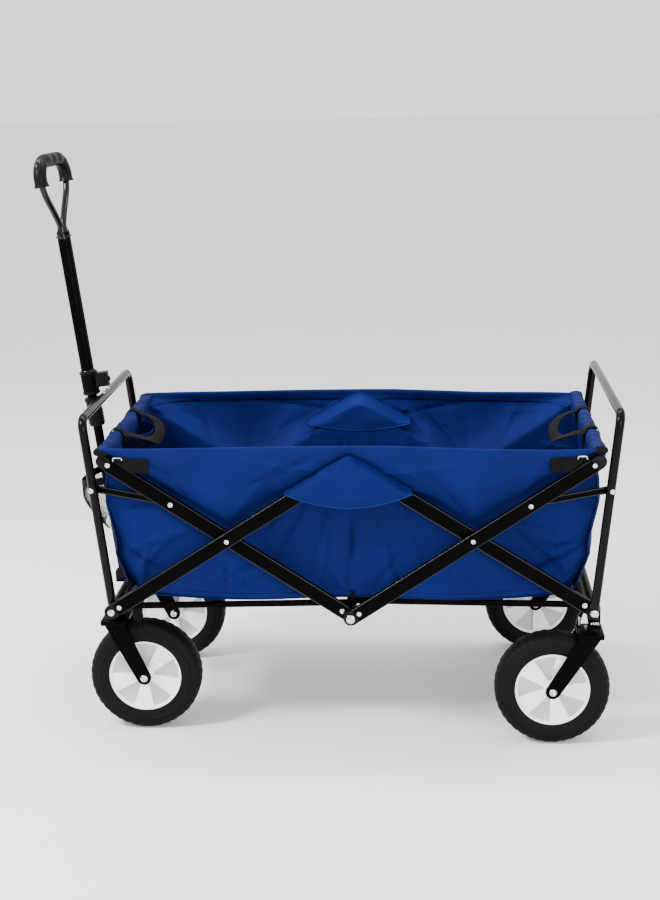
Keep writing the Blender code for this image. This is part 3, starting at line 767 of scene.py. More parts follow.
def make_forks():
    reach = 31.5
    for side, near_far, end, place in CORNERS:
        tag = f"{place}_{near_far}"
        name = "wheel_fork_" + tag
        body = f"caster_{near_far}" if end < 0 else "back_frame"
        low, high = node_box(name)
        wheel = middle("tyre_" + tag)
        if end < 0:
            deck_low, deck_high = high.z - 7.8, high.z
            top_a, top_b = (low.x + 43.0, deck_low + 0.8), (low.x + 7.0, deck_low + 0.8)
            plate = box_outline(low.x, low.x + 44.0, deck_low, deck_high)
        else:
            deck_low, deck_high = 185.6, 193.0
            top_a, top_b = (high.x - 5.0, deck_low + 1.4), (high.x - 41.0, deck_low + 1.4)
            plate = box_outline(high.x - 42.0, high.x, deck_low, deck_high)
        shapes = [slab(plate, wheel.y - reach, wheel.y + reach, 1.4, 3)]
        cheek = cheek_outline(top_a, top_b, Vector((wheel.x, wheel.z)), 12.0)
        for edge in (-1, 1):
            inner, outer = sorted((wheel.y + edge * (reach - 4.0), wheel.y + edge * (reach + 0.2)))
            shapes.append(slab(cheek, inner, outer, 1.1, 3))
            shapes.append(stiffener(top_a, top_b, wheel, wheel.y + edge * (reach + 0.2)))
        if end > 0:
            shapes += bracket_shapes(FOOT[1], side)
        else:
            washer = [(0, 0), (15.5, 0), (15.5, 1.2), (13.4, 2.0), (0, 2.0)]
            shapes.append(turned(washer, (hinge("swivel_front_near").x, wheel.y, deck_high - 0.6), UP, 28))
        add_piece(name + "_look", join(*shapes), PAINT, body, (name,))
        add_piece("axle_look_" + tag, axle_shape(wheel, reach), STEEL, body, ("axle_bolt_" + tag,))
        if end > 0:
            add_piece("deck_bolts_" + tag, deck_bolts(FOOT[1], side, deck_high), STEEL, body)


def bracket_shapes(foot, side):
    """The back fork's upright round the crossbar, and a bent clip in front of it."""
    inner, outer = sorted((side * 190.0, side * 203.0))
    upright = [(foot.x - 6.0, 190.0), (foot.x + 13.0, 190.0)]
    upright += arc(foot.x, foot.z, 13.0, 0.0, math.pi * 0.86, 14)
    bends = ((27.0, 191.0), (20.0, 191.0), (19.0, 207.0), (14.0, 216.0), (17.0, 219.0), (24.0, 208.0))
    clip = [(foot.x - before, z) for before, z in bends]
    return [slab(upright, inner, outer, 1.6, 3), slab(clip, inner, outer, 1.2, 2)]


def deck_bolts(foot, side, deck):
    """A bolt head, a stem and a coil spring where the back bracket is fixed on its fork."""
    y, coil_r = side * 208.0, 3.6
    coil = []
    for k in range(61):
        angle = 2 * math.pi * k / 12
        x = foot.x - 4.0 + 14.0 * k / 60
        coil.append((x, y + coil_r * math.cos(angle), deck + 5.0 + coil_r * math.sin(angle)))
    head = turned([(0, -0.4), (4.0, -0.4), (4.0, 2.2), (3.2, 3.0), (0, 3.0)], (foot.x - 12.0, y, deck), UP, 6)
    place = (foot.x - 22.0, side * 206.0, deck + 2.0)
    stem = turned([(0, 0), (1.8, 0), (1.8, 15.0), (0, 15.0)], place, UP, 12)
    return join(sweep(coil, circle(0.9, 8)), stem, head)


def stiffener(top_a, top_b, wheel, face_y):
    """A pressed rib along a fork cheek, from its top edge to just above the axle."""
    top, axle = (Vector(top_a) + Vector(top_b)) / 2, Vector((wheel.x, wheel.z))
    low = axle + (top - axle).normalized() * 20.0
    section = [(a * 0.9, b * 5.2) for a, b in circle(1.0, 12)]
    return sweep([(top.x, face_y, top.y - 6.0), (low.x, face_y, low.y)], section, side=ACROSS)


def axle_shape(wheel, reach):
    """An axle bolt with a domed head at each end."""
    end = reach + 1
    shank = turned([(0, -end), (5.0, -end), (5.0, end), (0, end)], wheel, ACROSS, 20)
    heads = [dome(wheel.x, wheel.y + edge * (reach + 0.4), wheel.z, edge, 6.6, 4.0) for edge in (-1, 1)]
    return join(shank, *heads)


# ---------------------------------------------------------------- handle

HANDLE_PIVOT = hinge("handle_hinge")
SLIDE = Vector(next(j["axis"] for j in frame["joints"] if j["name"] == "handle_slide"))
OUTWARD = Vector((-SLIDE.z, 0, SLIDE.x))  # away from the wagon's box
GRIP_TWIST = math.radians(9.0)


def up_handle(distance, across=0.0, outward=0.0):
    return HANDLE_PIVOT + SLIDE * distance + ACROSS * across + OUTWARD * outward


def grip_point(distance, across):
    """A point of the grip, whose plane is turned a little about the handle's axis."""
    return up_handle(distance, across * math.cos(GRIP_TWIST), -across * math.sin(GRIP_TWIST))


def ridged(radius, ridge, steps=40):
    """A tube's section with two shallow ridges that run its whole length on each side."""
    out = []
    for k in range(steps):
        angle = 2 * math.pi * k / steps
        lift = sum(math.exp(-((angle - a) / 0.16) ** 2) for a in (0.9, 2.24, 4.04, 5.38))
        r = radius + ridge * lift
        out.append((r * math.cos(angle), r * math.sin(angle)))
    return out


def pipe(low, high, radius, inner, steps=36, rings=()):
    """A hollow pipe on the handle's axis, with raised rings at (distance, half width, height)."""
    profile = [(radius - 0.8, low), (radius, low + 0.8)]
    for at, half, lift in rings:
        profile += [(radius, at - half - 0.6), (radius + lift, at - half), (radius + lift, at + half),
                    (radius, at + half + 0.6)]
    profile += [(radius, high - 0.8), (radius - 0.8, high), (inner, high), (inner, low)]
    return turned(profile, HANDLE_PIVOT, SLIDE, steps, closed=True)


def handle_block(low, high, half, first, last):
    """A rounded block that stands out from the collar."""
    path = [up_handle(low + 0.1, 0, (first + last) / 2), up_handle(high - 0.1, 0, (first + last) / 2)]
    return sweep(path, rounded_rectangle(half, abs(last - first) / 2, 2.5, 4), side=ACROSS)


def make_yoke():
    low, high = node_box("handle_yoke")
    pivot, top = HANDLE_PIVOT, FOOT[-1].z + 9.0
    cheek = [(high.x, low.z), (high.x, top + 1.0)] + arc(pivot.x, pivot.z, 12.0, math.pi / 2, math.pi, 10)
    cheek += [(low.x, low.z)]
    parts = [slab(cheek, *sorted((side * 11.5, side * 15.0)), 1.0, 2) for side in (-1, 1)]
    parts.append(slab(box_outline(low.x, high.x, low.z, low.z + 5.0), -15.0, 15.0, 1.0, 2))
    parts.append(slab(box_outline(pivot.x + 11.0, high.x, low.z + 2.0, top), -14.6, 14.6, 1.0, 2))
    add_piece("handle_yoke_look", join(*parts), PLASTIC, "front_frame", ("handle_yoke",))


def handle_tube(low, high, section):
    return sweep([up_handle(low), up_handle(high)], section, side=ACROSS)


def make_handle():
    make_yoke()
    lower, upper = "handle_lower", "handle_upper"
    tube = handle_tube(-4.0, 592.0, ridged(8.1, 0.7))
    add_piece("handle_lower_look", tube, PAINT, lower, ("handle_lower_tube",))
    pin = bolt(HANDLE_PIVOT, 1, -15.4, 15.4, 6.4, 2.6)
    add_piece("handle_hinge_pin", pin, PLASTIC, lower)

    rings = [(276.0 + 5.0 * k, 1.3, 1.1) for k in range(5)] + [(316.5, 2.4, 1.8)]
    sleeve = pipe(270.0, 321.0, 13.3, 9.0, rings=rings)
    add_piece("handle_sleeve_look", sleeve, PLASTIC, lower, ("handle_sleeve",))
    head = [(0, 11.0), (3.4, 11.0), (3.4, 14.2), (2.2, 15.4), (0, 15.8)]
    add_piece("handle_sleeve_rivet", turned(head, up_handle(300.0), -ACROSS, 16), STEEL, lower)

    tube = handle_tube(330.0, 612.0, ridged(11.3, 0.9))
    add_piece("handle_upper_look", tube, PAINT, upper, ("handle_upper_tube",))
    collar = pipe(326.0, 368.0, 14.2, 10.4, rings=[(365.0, 1.6, 1.6), (329.6, 1.4, 1.2)])
    catch = handle_block(338.0, 363.0, 9.0, -11.0, -34.0)
    add_piece("handle_collar_look", join(collar, catch), PLASTIC, upper, ("handle_collar",))
    knob = [(0, 27.0), (3.9, 27.0), (3.9, 36.0), (3.3, 36.7), (0, 36.9)]
    button = turned(knob, up_handle(350.0), -OUTWARD, 20)
    add_piece("lock_button_look", button, PLASTIC, "button", ("lock_button",))
    tops = []
    for distance, radius, half in ((368.6, 12.4, 0.8), (604.0, 13.6, 1.1)):
        ring = [(10.6, -half), (radius, -half), (radius + 0.5, 0.0), (radius, half), (10.6, half)]
        tops.append(turned(ring, up_handle(distance), SLIDE, 32, closed=True))
    # The rings are real lips. Their lighter paint is a painted highlight.
    add_piece("handle_tube_rings", join(*tops), HIGHLIGHT_PAINT, upper)
    make_grip()


def make_grip():
    leg = ((606.0, 5.0), (622.0, 6.2), (648.0, 24.0), (676.0, 46.0), (700.0, 56.0), (722.0, 58.5))
    legs = [smooth_path([grip_point(up, side * across) for up, across in leg], 5) for side in (-1, 1)]
    corners = ((722.0, -58.5), (735.0, -58.5), (735.0, 58.5), (722.0, 58.5))
    crown = bent([grip_point(*corner) for corner in corners], 12.9, 8)
    path = legs[0] + crown[1:-1] + legs[1][::-1]
    add_piece("grip_loop_wire", sweep(path, circle(5.5, 16)), LOOP_PAINT, "handle_upper", ("grip_loop",))
    neck = sweep([up_handle(d) for d in (600.0, 606.0, 616.0, 622.0)],
                 lambda t: [(a * (12.4 - 2.0 * t), b * (10.6 - 2.4 * t)) for a, b in circle(1.0, 24)],
                 side=ACROSS)
    add_piece("grip_neck_clamp", neck, LOOP_PAINT, "handle_upper")
    make_grip_cover()
    a, b = grip_point(611.0, -17.4), grip_point(611.0, 17.4)
    length = (b - a).length
    head = [(0, 0), (4.2, 0.0), (5.4, 1.2), (5.4, 4.0), (3.0, 4.2)]
    profile = head + [(radius, length - along_way) for radius, along_way in reversed(head)]
    bolt_look = turned(profile, a, (b - a).normalized(), 20)
    add_piece("grip_bolt_look", bolt_look, LOOP_PAINT, "handle_upper", ("grip_bolt",))


def make_grip_cover():
    """The moulded cover over the loop's crown: thick legs with flared lips and finger waves on top."""
    corners = ((694.0, -55.5), (735.0, -59.0), (735.0, 59.0), (694.0, 55.5))
    path = bent([grip_point(*corner) for corner in corners], 30.0, 12)
    dense = []
    for a, b in zip(path, path[1:]):
        pieces = max(1, int((b - a).length / 2.2))
        dense += [a.lerp(b, k / pieces) for k in range(pieces)]
    dense.append(path[-1])
    total = sum((b - a).length for a, b in zip(dense, dense[1:]))

    def section(t):
        lip = 2.0 * math.exp(-(min(t, 1 - t) * total / 3.0) ** 2)
        wave_height = 0.9 * math.cos(2 * math.pi * (t - 0.5) * 6) if 0.22 < t < 0.78 else 0.0
        radii = [(11.6 + lip + wave_height * max(0.0, -b), a, b) for a, b in circle(1.0, 24)]
        return [(radius * a, radius * 0.96 * b) for radius, a, b in radii]

    add_piece("grip_cover_look", sweep(dense, section), PLASTIC, "handle_upper", ("grip_cover",), 50.0)


# ---------------------------------------------------------------- cloth

CROSS_RUN = CROSS[1].x - MID_X
FALL_SLOPE = (CROSS[1].z - FOOT[1].z) / (FOOT[1].x - CROSS[1].x)
RISE_SLOPE = (END_TUBE[1].z - CROSS[1].z) / (END_TUBE[1].x - CROSS[1].x)
BAR_LIFT = BAR_HALF / math.cos(math.atan(RISE_SLOPE))
RIM_END_Z, RIM_MID_Z = END_TUBE[1].z + 25.0, HUB_HIGH.z + 27.5
RIM_Y = OUTER_FACE + 4.0
HEM_MID_Z, HEM_END_Z = FLOOR_Z + 1.0, FLOOR_Z + 11.0
PANEL_Y = CLOTH_FACE - 2.4
RIM_R_CLOTH = 3.4
CREASE_GAIN = 3.1
SIDE_HALF = 400.0
END_HALF = 196.0
FLAP_HALF = {"outer": 104.0, "inner": 96.0}
EDGE_HEIGHTS = (240.0, 257.0, 288.0, 310.0, 334.0, 362.0, 400.0, 440.0, 480.0, 490.0, 502.0)
EDGE_RUNS = (370.0, 375.0, 385.0, 392.0, 391.0, 396.5, 404.5, 404.0, 399.0, 401.0, 406.0)


def edge_run(z):
    """Half the cloth box's length at a height: the corners bag out above and draw in towards the hem."""
    return float(np.interp(z, EDGE_HEIGHTS, EDGE_RUNS))


def bar_line(dx):
    """Height of the bars' upper edges at dx from the wagon's middle."""
    run = abs(dx)
    return CROSS[1].z + BAR_LIFT + max(FALL_SLOPE * (CROSS_RUN - run), RISE_SLOPE * (run - CROSS_RUN))


def rim_z(dx):
    settle = 4.5 * min(max((dx - 60.0) / 160.0, 0.0), 1.0)
    return RIM_END_Z + (RIM_MID_Z - RIM_END_Z) * math.cos(math.pi / 2 * min(abs(dx) / 400.0, 1)) ** 2 - settle


def rim_out(dx):
    return RIM_Y - 9.0 * max(0.0, (abs(dx) - 320.0) / 80.0) ** 2


def hem_z(dx):
    """The hem sags between the wagon's middle and its corners."""
    share = min(abs(dx) / 385.0, 1.0)
    sag = 5.0 * math.sin(math.pi * min(share * 1.08, 1.0)) ** 2
    return HEM_MID_Z - sag + (HEM_END_Z - HEM_MID_Z) * share ** 6


# Soft ridges on a side panel: two ends as (dx, z), a width and a height
CREASES = (
    (-20, 404, -46, 262, 13, 2.6), (12, 402, 6, 268, 9, -2.4), (38, 404, 66, 256, 14, 2.8),
    (92, 400, 128, 300, 12, 2.0), (-84, 408, -150, 300, 12, -2.2), (-60, 330, -10, 250, 10, 2.0),
    (74, 330, 24, 252, 11, -2.0), (-128, 296, -250, 252, 14, 2.2), (132, 292, 246, 250, 13, 2.4),
    (-212, 330, -330, 248, 12, -2.2), (-236, 372, -368, 330, 15, 2.4), (-300, 350, -386, 276, 12, 2.2),
    (-330, 402, -392, 392, 10, -1.8), (238, 372, 372, 322, 15, 2.6), (290, 352, 380, 274, 12, -2.6),
    (334, 332, 372, 262, 9, 3.0), (346, 402, 392, 372, 10, 2.0), (-350, 312, -376, 252, 9, 3.0),
    (-200, 372, -120, 470, 16, 2.6), (-250, 400, -300, 486, 15, -2.0), (206, 372, 130, 474, 16, -2.6),
    (262, 404, 306, 484, 16, 2.4), (-60, 462, -190, 482, 10, 2.2), (64, 460, 200, 478, 10, 2.4),
    (-150, 440, -30, 492, 11, -1.8), (150, 436, 40, 492, 11, 1.8), (-380, 470, -280, 452, 12, -2.0),
    (384, 468, 284, 448, 12, 2.0), (386, 318, 300, 268, 8, -3.0), (384, 340, 318, 330, 9, -2.6),
    (372, 292, 330, 240, 7, 2.4), (-110, 402, -150, 352, 7, -2.6), (-222, 300, -236, 250, 6, -2.0),
    (-190, 296, -182, 248, 6, 1.8), (-384, 330, -330, 290, 9, -2.6), (70, 300, 96, 250, 6, -2.0),
    (160, 304, 172, 248, 7, 2.0),
)


def creases_at(dx, z, mirror, seed):
    """Height of the creases at a point. Each is a soft ridge that dies away at both ends."""
    total = 0.0
    rng = random.Random(seed)
    for ax, az, bx, bz, width, height in CREASES:
        wobble_x, wobble_z = rng.uniform(-14, 14), rng.uniform(-10, 10)
        gain = rng.uniform(0.65, 1.25)
        ax, bx = (ax * mirror + wobble_x, bx * mirror + wobble_x)
        ux, uz = bx - ax, bz - az
        length = math.hypot(ux, uz)
        t = ((dx - ax) * ux + (z - az - wobble_z) * uz) / length ** 2
        if -0.15 < t < 1.15:
            off = ((dx - ax) * uz - (z - az - wobble_z) * ux) / length
            fade = math.sin(math.pi * min(max((t + 0.15) / 1.3, 0), 1)) ** 0.7
            spread = 0.5 * width * (0.5 + 0.7 * t)
            total += CREASE_GAIN * gain * height * fade * math.exp(-abs(off / spread) ** 1.35)
    total += 0.9 * math.sin(dx * 0.031 + seed) * math.sin(z * 0.043 + 1.7 * seed)
    total += 0.5 * math.sin(dx * 0.083 + 2.0 * seed + z * 0.05)
    return total


def soft_limit(value, limit, softness):
    """value held below a limit, with a rounded shoulder."""
    if value >= limit + 20:
        return limit
    return limit - softness * math.log1p(math.exp((limit - value) / softness))


def panel_y(dx, z, side):
    """Distance of a side panel from the wagon's middle plane: behind the bars, then out over them."""
    rim = rim_z(dx)
    line = bar_line(dx) + 1.5
    seed = 1.0 if side < 0 else 2.0
    crease = creases_at(dx, z, 1 if side < 0 else -1, seed)
    inner = soft_limit(PANEL_Y - 4.0 + crease, CLOTH_FACE - 0.4, 0.9)
    corner = max(0.0, (abs(dx) - edge_run(z) + 12.0) / 12.0)
    inner -= 4.0 * corner ** 2
    if z <= line:
        return inner
    height = rim - line
    t = min((z - line) / max(height - RIM_R_CLOTH, 6.0), 1.0)
    tight = min(max((136.0 - abs(dx)) / 46.0, 0.0), 1.0)
    step = 23.0 * tight * tight * (3 - 2 * tight) * (1 - math.exp(-(z - line) / 2.4))
    out = rim_out(dx)
    billow = 19.0 * min(height / 140.0, 1.0) * math.sin(math.pi * t ** 0.85) * (1 - 0.6 * tight)
    reach = math.sin(math.pi / 2 * t)
    return inner + step + (out - inner - step) * reach + billow + 1.6 * crease * (1 - t) * t * 2


def side_rows(dx, side):
    """One upright line of a side panel, hem to rim and over it, as (z, y) pairs."""
    rows = 62
    hem, top = hem_z(dx), rim_z(dx) - RIM_R_CLOTH
    out = [(hem - below, panel_y(dx, hem, side) - inward) for below, inward in ((3.2, 7.0), (1.6, 2.4))]
    for k in range(rows + 1):
        z = hem + (top - hem) * k / rows
        out.append((z, panel_y(dx, z, side)))
    z, y = out[-1]
    for k in range(1, 8):
        angle = math.pi * k / 7
        out.append((z + RIM_R_CLOTH * math.sin(angle), y - RIM_R_CLOTH * (1 - math.cos(angle))))
    for k in range(1, 5):
        below = z - 4.0 * k
        out.append((below, panel_y(dx, below, side) - 2 * RIM_R_CLOTH + 1.3 * k))
    return out


def grid_faces(columns, rows, flip=False):
    faces = []
    for c in range(columns - 1):
        for r in range(rows - 1):
            a = c * rows + r
            face = (a, a + rows, a + rows + 1, a + 1)
            faces.append(face[::-1] if flip else face)
    return faces


def grid(columns, rows, place, flip=False):
    """A sheet and its weave map. place(s, t) gives a point and its map for s and t from 0 to 1."""
    spots = [place(c / (columns - 1), r / (rows - 1)) for c in range(columns) for r in range(rows)]
    points, uvs = zip(*spots)
    return (points, grid_faces(columns, rows, flip)), list(uvs)


def cloth_piece(name, shape, uvs, look, thick=0.0, stands_for=(), angle=60.0):
    """A sheet of cloth that rides with the cloth box."""
    made = add_piece(name, shape, look, "cloth_box", stands_for, angle, uvs, closed=False)
    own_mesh(made)
    if thick:
        shell = made.modifiers.new("thickness", "SOLIDIFY")
        shell.thickness = thick * MM
        shell.offset = 0.0
    return made


def make_side_panels():
    columns = 190
    for side, near_far in SIDES:
        points, uvs = [], []
        for c in range(columns):
            s = -1 + 2 * c / (columns - 1)
            length, before = 0.0, None
            for here in side_rows(SIDE_HALF * s, side):
                length += math.dist(here, before or here)
                before = here
                z, y = here
                points.append(at(s * edge_run(min(z, 505.0)), side * y, z))
                uvs.append((SIDE_HALF * s, length))
        shape = points, grid_faces(columns, len(points) // columns, flip=side > 0)
        panel = cloth_piece("side_cloth_" + near_far, shape, uvs, BLUE, 0.9, ("side_panel_" + near_far,))


def end_x(y, z, end):
    """An end panel's distance from the middle at (y, z)."""
    across = abs(y) / END_HALF
    belly = 9.0 * (1 - across ** 5) * math.sin(math.pi * min(max((z - 240.0) / 236.0, 0), 1)) ** 0.8
    folds = 2.4 * math.sin(y * 0.052 + z * 0.021 + end) * math.exp(-((z - 300.0) / 80.0) ** 2)
    folds += 2.2 * math.sin(y * 0.11 + end * 2.0) * math.exp(-((z - 455.0) / 34.0) ** 2)
    folds += 1.2 * math.sin(y * 0.031 - z * 0.06)
    folds *= 1 - across ** 4
    corner = max(0.0, (abs(y) - 184.0) / 12.0)
    top = min(max((z - 440.0) / 38.0, 0.0), 1.0)
    run = edge_run(z) + belly + folds - 3.0 * corner ** 2
    return run * (1 - top) + (abs(END_TUBE[end].x - MID_X) - ROLL_R) * top


def make_end_panels():
    for end, place in ENDS:
        def spot(s, t):
            y = END_HALF * (2 * s - 1)
            low = HEM_MID_Z + 4.0 * abs(2 * s - 1) ** 3
            z = low + (END_TUBE[end].z - 0.5 - low) * t
            lift = (HEM_END_Z - HEM_MID_Z) * (1 - t) ** 2 * (2 * s - 1) ** 4 * 0.8
            return at(end * end_x(y, z, end), y, z + lift), (y, z)

        shape, uvs = grid(64, 44, spot, flip=end < 0)
        panel = cloth_piece("end_cloth_" + place, shape, uvs, BLUE, 0.9, ("end_panel_" + place,))


def roll_ring(y, grow=0.0, steps=32):
    """A roll's outline at y, as offsets from its tube: full between the bars, only its top over them."""
    over = min(max((abs(y) - 197.0) / 7.0, 0.0), 1.0)
    over = over * over * (3 - 2 * over)
    low = -12.0 + 23.9 * over
    high = 24.4 - 1.2 * max(0.0, (abs(y) - 216.0) / 10.0) ** 2
    centre, half_z = (high + low) / 2, (high - low) / 2 + grow
    half_x = 12.4 - over + grow
    return [(half_x * math.copysign(abs(c) ** 0.85, c), centre + half_z * math.copysign(abs(q) ** 0.85, q))
            for c, q in circle(1.0, steps)]


def roll_skin(tube, ys, phase):
    """A wrinkled skin over a roll between stations along it. Returns the shape and its weave map."""
    points, uvs = [], []
    around = 32
    for y in ys:
        pinch = math.exp(-((abs(y) - STRAP_Y) / 16.0) ** 2)
        for k, (dx, dz) in enumerate(roll_ring(y, 0.0, around)):
            angle = 2 * math.pi * k / around
            fold = 0.7 * math.sin(y * 0.07 + 2 * angle + phase) + 0.5 * math.sin(y * 0.19 - 3 * angle)
            swell = 1 + (fold - 0.9 * pinch - 0.6) / (math.hypot(dx, dz - 6.0) or 1.0)
            points.append((tube.x + dx * swell, y, tube.z + 6.0 + (dz - 6.0) * swell))
            uvs.append((y, 13.0 * angle))
    return (points, strips(len(ys), around)), uvs


def make_rolls():
    """Cloth sleeves rolled over the end tubes; their ends go over the bars and are bound in black."""
    half = 222.0
    lips = ((-2.0, 0.2), (-1.4, 0.8), (0.0, 0.9), (2.4, 0.8), (4.2, 0.2), (5.0, -1.2))
    for end, place in ENDS:
        tube, body = END_TUBE[end], place + "_rising_arms"
        shape, uvs = roll_skin(tube, np.linspace(-half, half, 150), end)
        add_piece(place + "_roll", shape, BLUE, body, (place + "_rim_sleeve",), 60.0, uvs)
        boots = []
        for side in (-1, 1):
            points = [(tube.x + dx, side * (half + past), tube.z + dz)
                      for past, grow in lips for dx, dz in roll_ring(half + past, grow)]
            boots.append((points, strips(len(lips), 32)))
        add_piece(place + "_roll_boots", join(*boots), WEBBING_PLAIN, body, (), 50.0)


STRAP_Y = 78.0
STRAP_W = 10.5  # half a strap's width


def flat_section(half_width, thick):
    return rounded_rectangle(half_width, thick / 2, thick * 0.45, 2)


def strap_map(path, section):
    """A strap's weave map: its length so far by the place across it."""
    uvs, length = [], 0.0
    for before, here in zip(path[:1] + path, path):
        length += (here - before).length
        uvs += [(length, a) for a, _ in section]
    return uvs


def ribbon(path, width_way, half_width, thick):
    """A flat strap along a path; its width runs along width_way. Returns the shape and its weave map."""
    section = flat_section(half_width, thick)
    return sweep(path, section, side=width_way), strap_map(path, section)


def banded(path, ways, half_width, thick=1.8):
    """A flat strap whose width direction is given at each point of its path."""
    points = []
    section = flat_section(half_width, thick)
    for i, p in enumerate(path):
        ahead = path_way(path, i)
        way = (ways[i] - ahead * ways[i].dot(ahead)).normalized()
        points += [p + way * a + ahead.cross(way) * b for a, b in section]
    return (points, strips(len(path), len(section))), strap_map(path, section)


def path_way(path, i):
    return (path[min(i + 1, len(path) - 1)] - path[max(i - 1, 0)]).normalized()


def make_strap_wraps():
    """Webbing that goes round each roll; it turns with the roll."""
    ring = roll_ring(STRAP_Y, 0.9, 48)
    for end, place in ENDS:
        for side, near_far in SIDES:
            path = [END_TUBE[end] + Vector((dx, side * STRAP_Y, dz)) for dx, dz in ring + ring[:1]]
            shape, uvs = banded(path, [ACROSS] * len(path), STRAP_W, 1.7)
            add_piece(f"{place}_strap_wrap_{near_far}", shape, WEBBING, place + "_rising_arms", (), 50.0, uvs)


def make_strap_loops():
    """A webbing carry loop inside each end: flat where it leaves the roll, upright where it turns."""
    half_loop = ((12.0, 0.0, 17.0), (24.0, 2.0, 15.0), (40.0, 9.0, 9.0), (51.0, 24.0, 1.0),
                 (56.0, 48.0, -5.0), (57.0, STRAP_Y, -8.0))
    for end, place in ENDS:
        tube = END_TUBE[end]
        stations = [Vector((tube.x - end * a, STRAP_Y - b, tube.z + c)) for a, b, c in half_loop]
        stations += [Vector((p.x, -p.y, p.z - 2.0)) for p in reversed(stations[:-1])]
        path = smooth_path(stations, 7)
        ways = []
        for i in range(len(path)):
            t = i / (len(path) - 1)
            turn = math.radians(8.0 + 44.0 * math.exp(-((t - 0.5) / 0.2) ** 2))
            outward = path_way(path, i).cross(UP).normalized() * -end
            ways.append(outward * math.cos(turn) + UP * math.sin(turn))
        shape, uvs = banded(path, ways, STRAP_W)
        cloth_piece(place + "_strap_loop", shape, uvs, WEBBING)
        tail = [Vector((tube.x - end * a, 26.0 - STRAP_Y, tube.z + c))
                for a, c in ((13.0, 2.0), (11.0, -22.0), (8.0, -52.0), (6.0, -86.0))]
        path = smooth_path(tail, 6)
        shape, uvs = banded(path, [ACROSS] * len(path), STRAP_W * 0.6)
        cloth_piece(place + "_strap_tail", shape, uvs, WEBBING)


def flap_point(dx, v, side, where):
    """A point of a hub flap: sewn along two slanting lines, over the bars' edge, down to a curved hem."""
    run, half = abs(dx), FLAP_HALF[where]
    inner = where == "inner"
    if inner:
        low_mid, low_end, reach, wrap = 437.0, 449.0, PANEL_Y - 5.0, 0.36
        seam = RIM_MID_Z + 1.0 - 0.58 * math.hypot(run, 12.0)
        start_y, drop = panel_y(dx, seam, side) - 1.0, 15.0
        belly_y, sag, dent = -1.6, -0.8, 0.0
    else:
        low_mid, low_end, reach, wrap = 405.0, 428.0, OUTER_FACE + 5.2, 0.3
        seam = HUB_HIGH.z + 15.6 - 0.62 * math.hypot(run, 4.0)
        start_y, drop = min(panel_y(dx, seam, side) + 0.6, reach - 6.0), 10.5
        belly_y, sag, dent = 1.8, 1.2, -2.0
    share = min(run / half, 1.0)
    low = low_mid + (low_end - low_mid) * share ** 2
    seam = max(seam, low + 1.0)
    drop = min(drop, 0.7 * (seam - low))
    if v < wrap:
        t = v / wrap
        bow = 1.2 * math.sin(math.pi * t)
        return at(dx, side * (start_y + (reach - start_y) * t), seam + bow - drop * t)
    t = (v - wrap) / (1 - wrap)
    bulge = (1 - share ** 2) * math.sin(math.pi * t)
    out = reach + sag * t * t + bulge * (belly_y + 1.3 * math.sin(dx * 0.07 + t * 3.0 + side))
    out += dent * math.exp(-((dx - 46.0) / 26.0) ** 2 - ((t - 0.25) / 0.22) ** 2)
    return at(dx, side * out, seam - drop + (low - seam + drop) * t)


def flap_depth(dx, side, where, rows=30):
    """Length of a flap's cloth at one place across it, over the bars and down to the hem."""
    strip = [flap_point(dx, r / rows, side, where) for r in range(rows + 1)]
    return sum((b - a).length for a, b in zip(strip, strip[1:])) * MM


def flap_area(side, where, columns=80):
    """Area of a flap's cut, as strips laid side by side."""
    half = FLAP_HALF[where]
    step = 2 * half / columns
    return sum(flap_depth(-half + step * (c + 0.5), side, where) for c in range(columns)) * step * MM


def make_flaps():
    for side, near_far in SIDES:
        for where in ("outer", "inner"):
            half = FLAP_HALF[where]
            out = ACROSS * (side if where == "outer" else -side)
            tag = f"{where}_{near_far}"

            def spot(s, t):
                dx = half * (2 * s - 1)
                return flap_point(dx, t, side, where), (dx, -80.0 * t)

            shape, uvs = grid(80, 30, spot, flip=(side < 0) == (where == "outer"))
            flap = cloth_piece("hub_flap_" + tag, shape, uvs, BLUE, 1.0)
            cut = round(2 * half * MM, 3), round(flap_depth(0.0, side, where), 3)
            flap_area(side, where)
            dxs = np.linspace(1.5 - half, half - 1.5, 70)
            hem, row, seam = ([flap_point(dx, v, side, where) for dx in dxs] for v in (1.0, 0.94, 0.01))
            # The piping is a real rolled hem. Its lighter blue is a painted highlight.
            cloth_piece("hub_flap_piping_" + tag, sweep(hem, circle(1.25, 10), side=out), None, PIPING_HIGHLIGHT)
            seam = [p + UP * 2.4 for p in seam]
            threads = join(*[thread_row(line, out, lift=1.0) for line in (row, seam)])
            cloth_piece("hub_flap_stitching_" + tag, threads, None, THREAD)


def make_floor():
    half_y = PANEL_Y - 3.0

    def spot(u, v):
        s, t = 2 * u - 1, 2 * v - 1
        dx, y = 373.0 * s, half_y * t
        z = FLOOR_Z + 1.6 + (hem_z(dx) - HEM_MID_Z) * t ** 6 + 1.2 * t ** 8
        z += (HEM_MID_Z - FLOOR_Z - 4.5) * max(s ** 10, t ** 8)
        return at(dx, y, z), (dx, y)

    shape, uvs = grid(90, 44, spot)
    floor = cloth_piece("floor_cloth", shape, uvs, BLUE, 1.0, ("floor_panel",))
    make_mat()


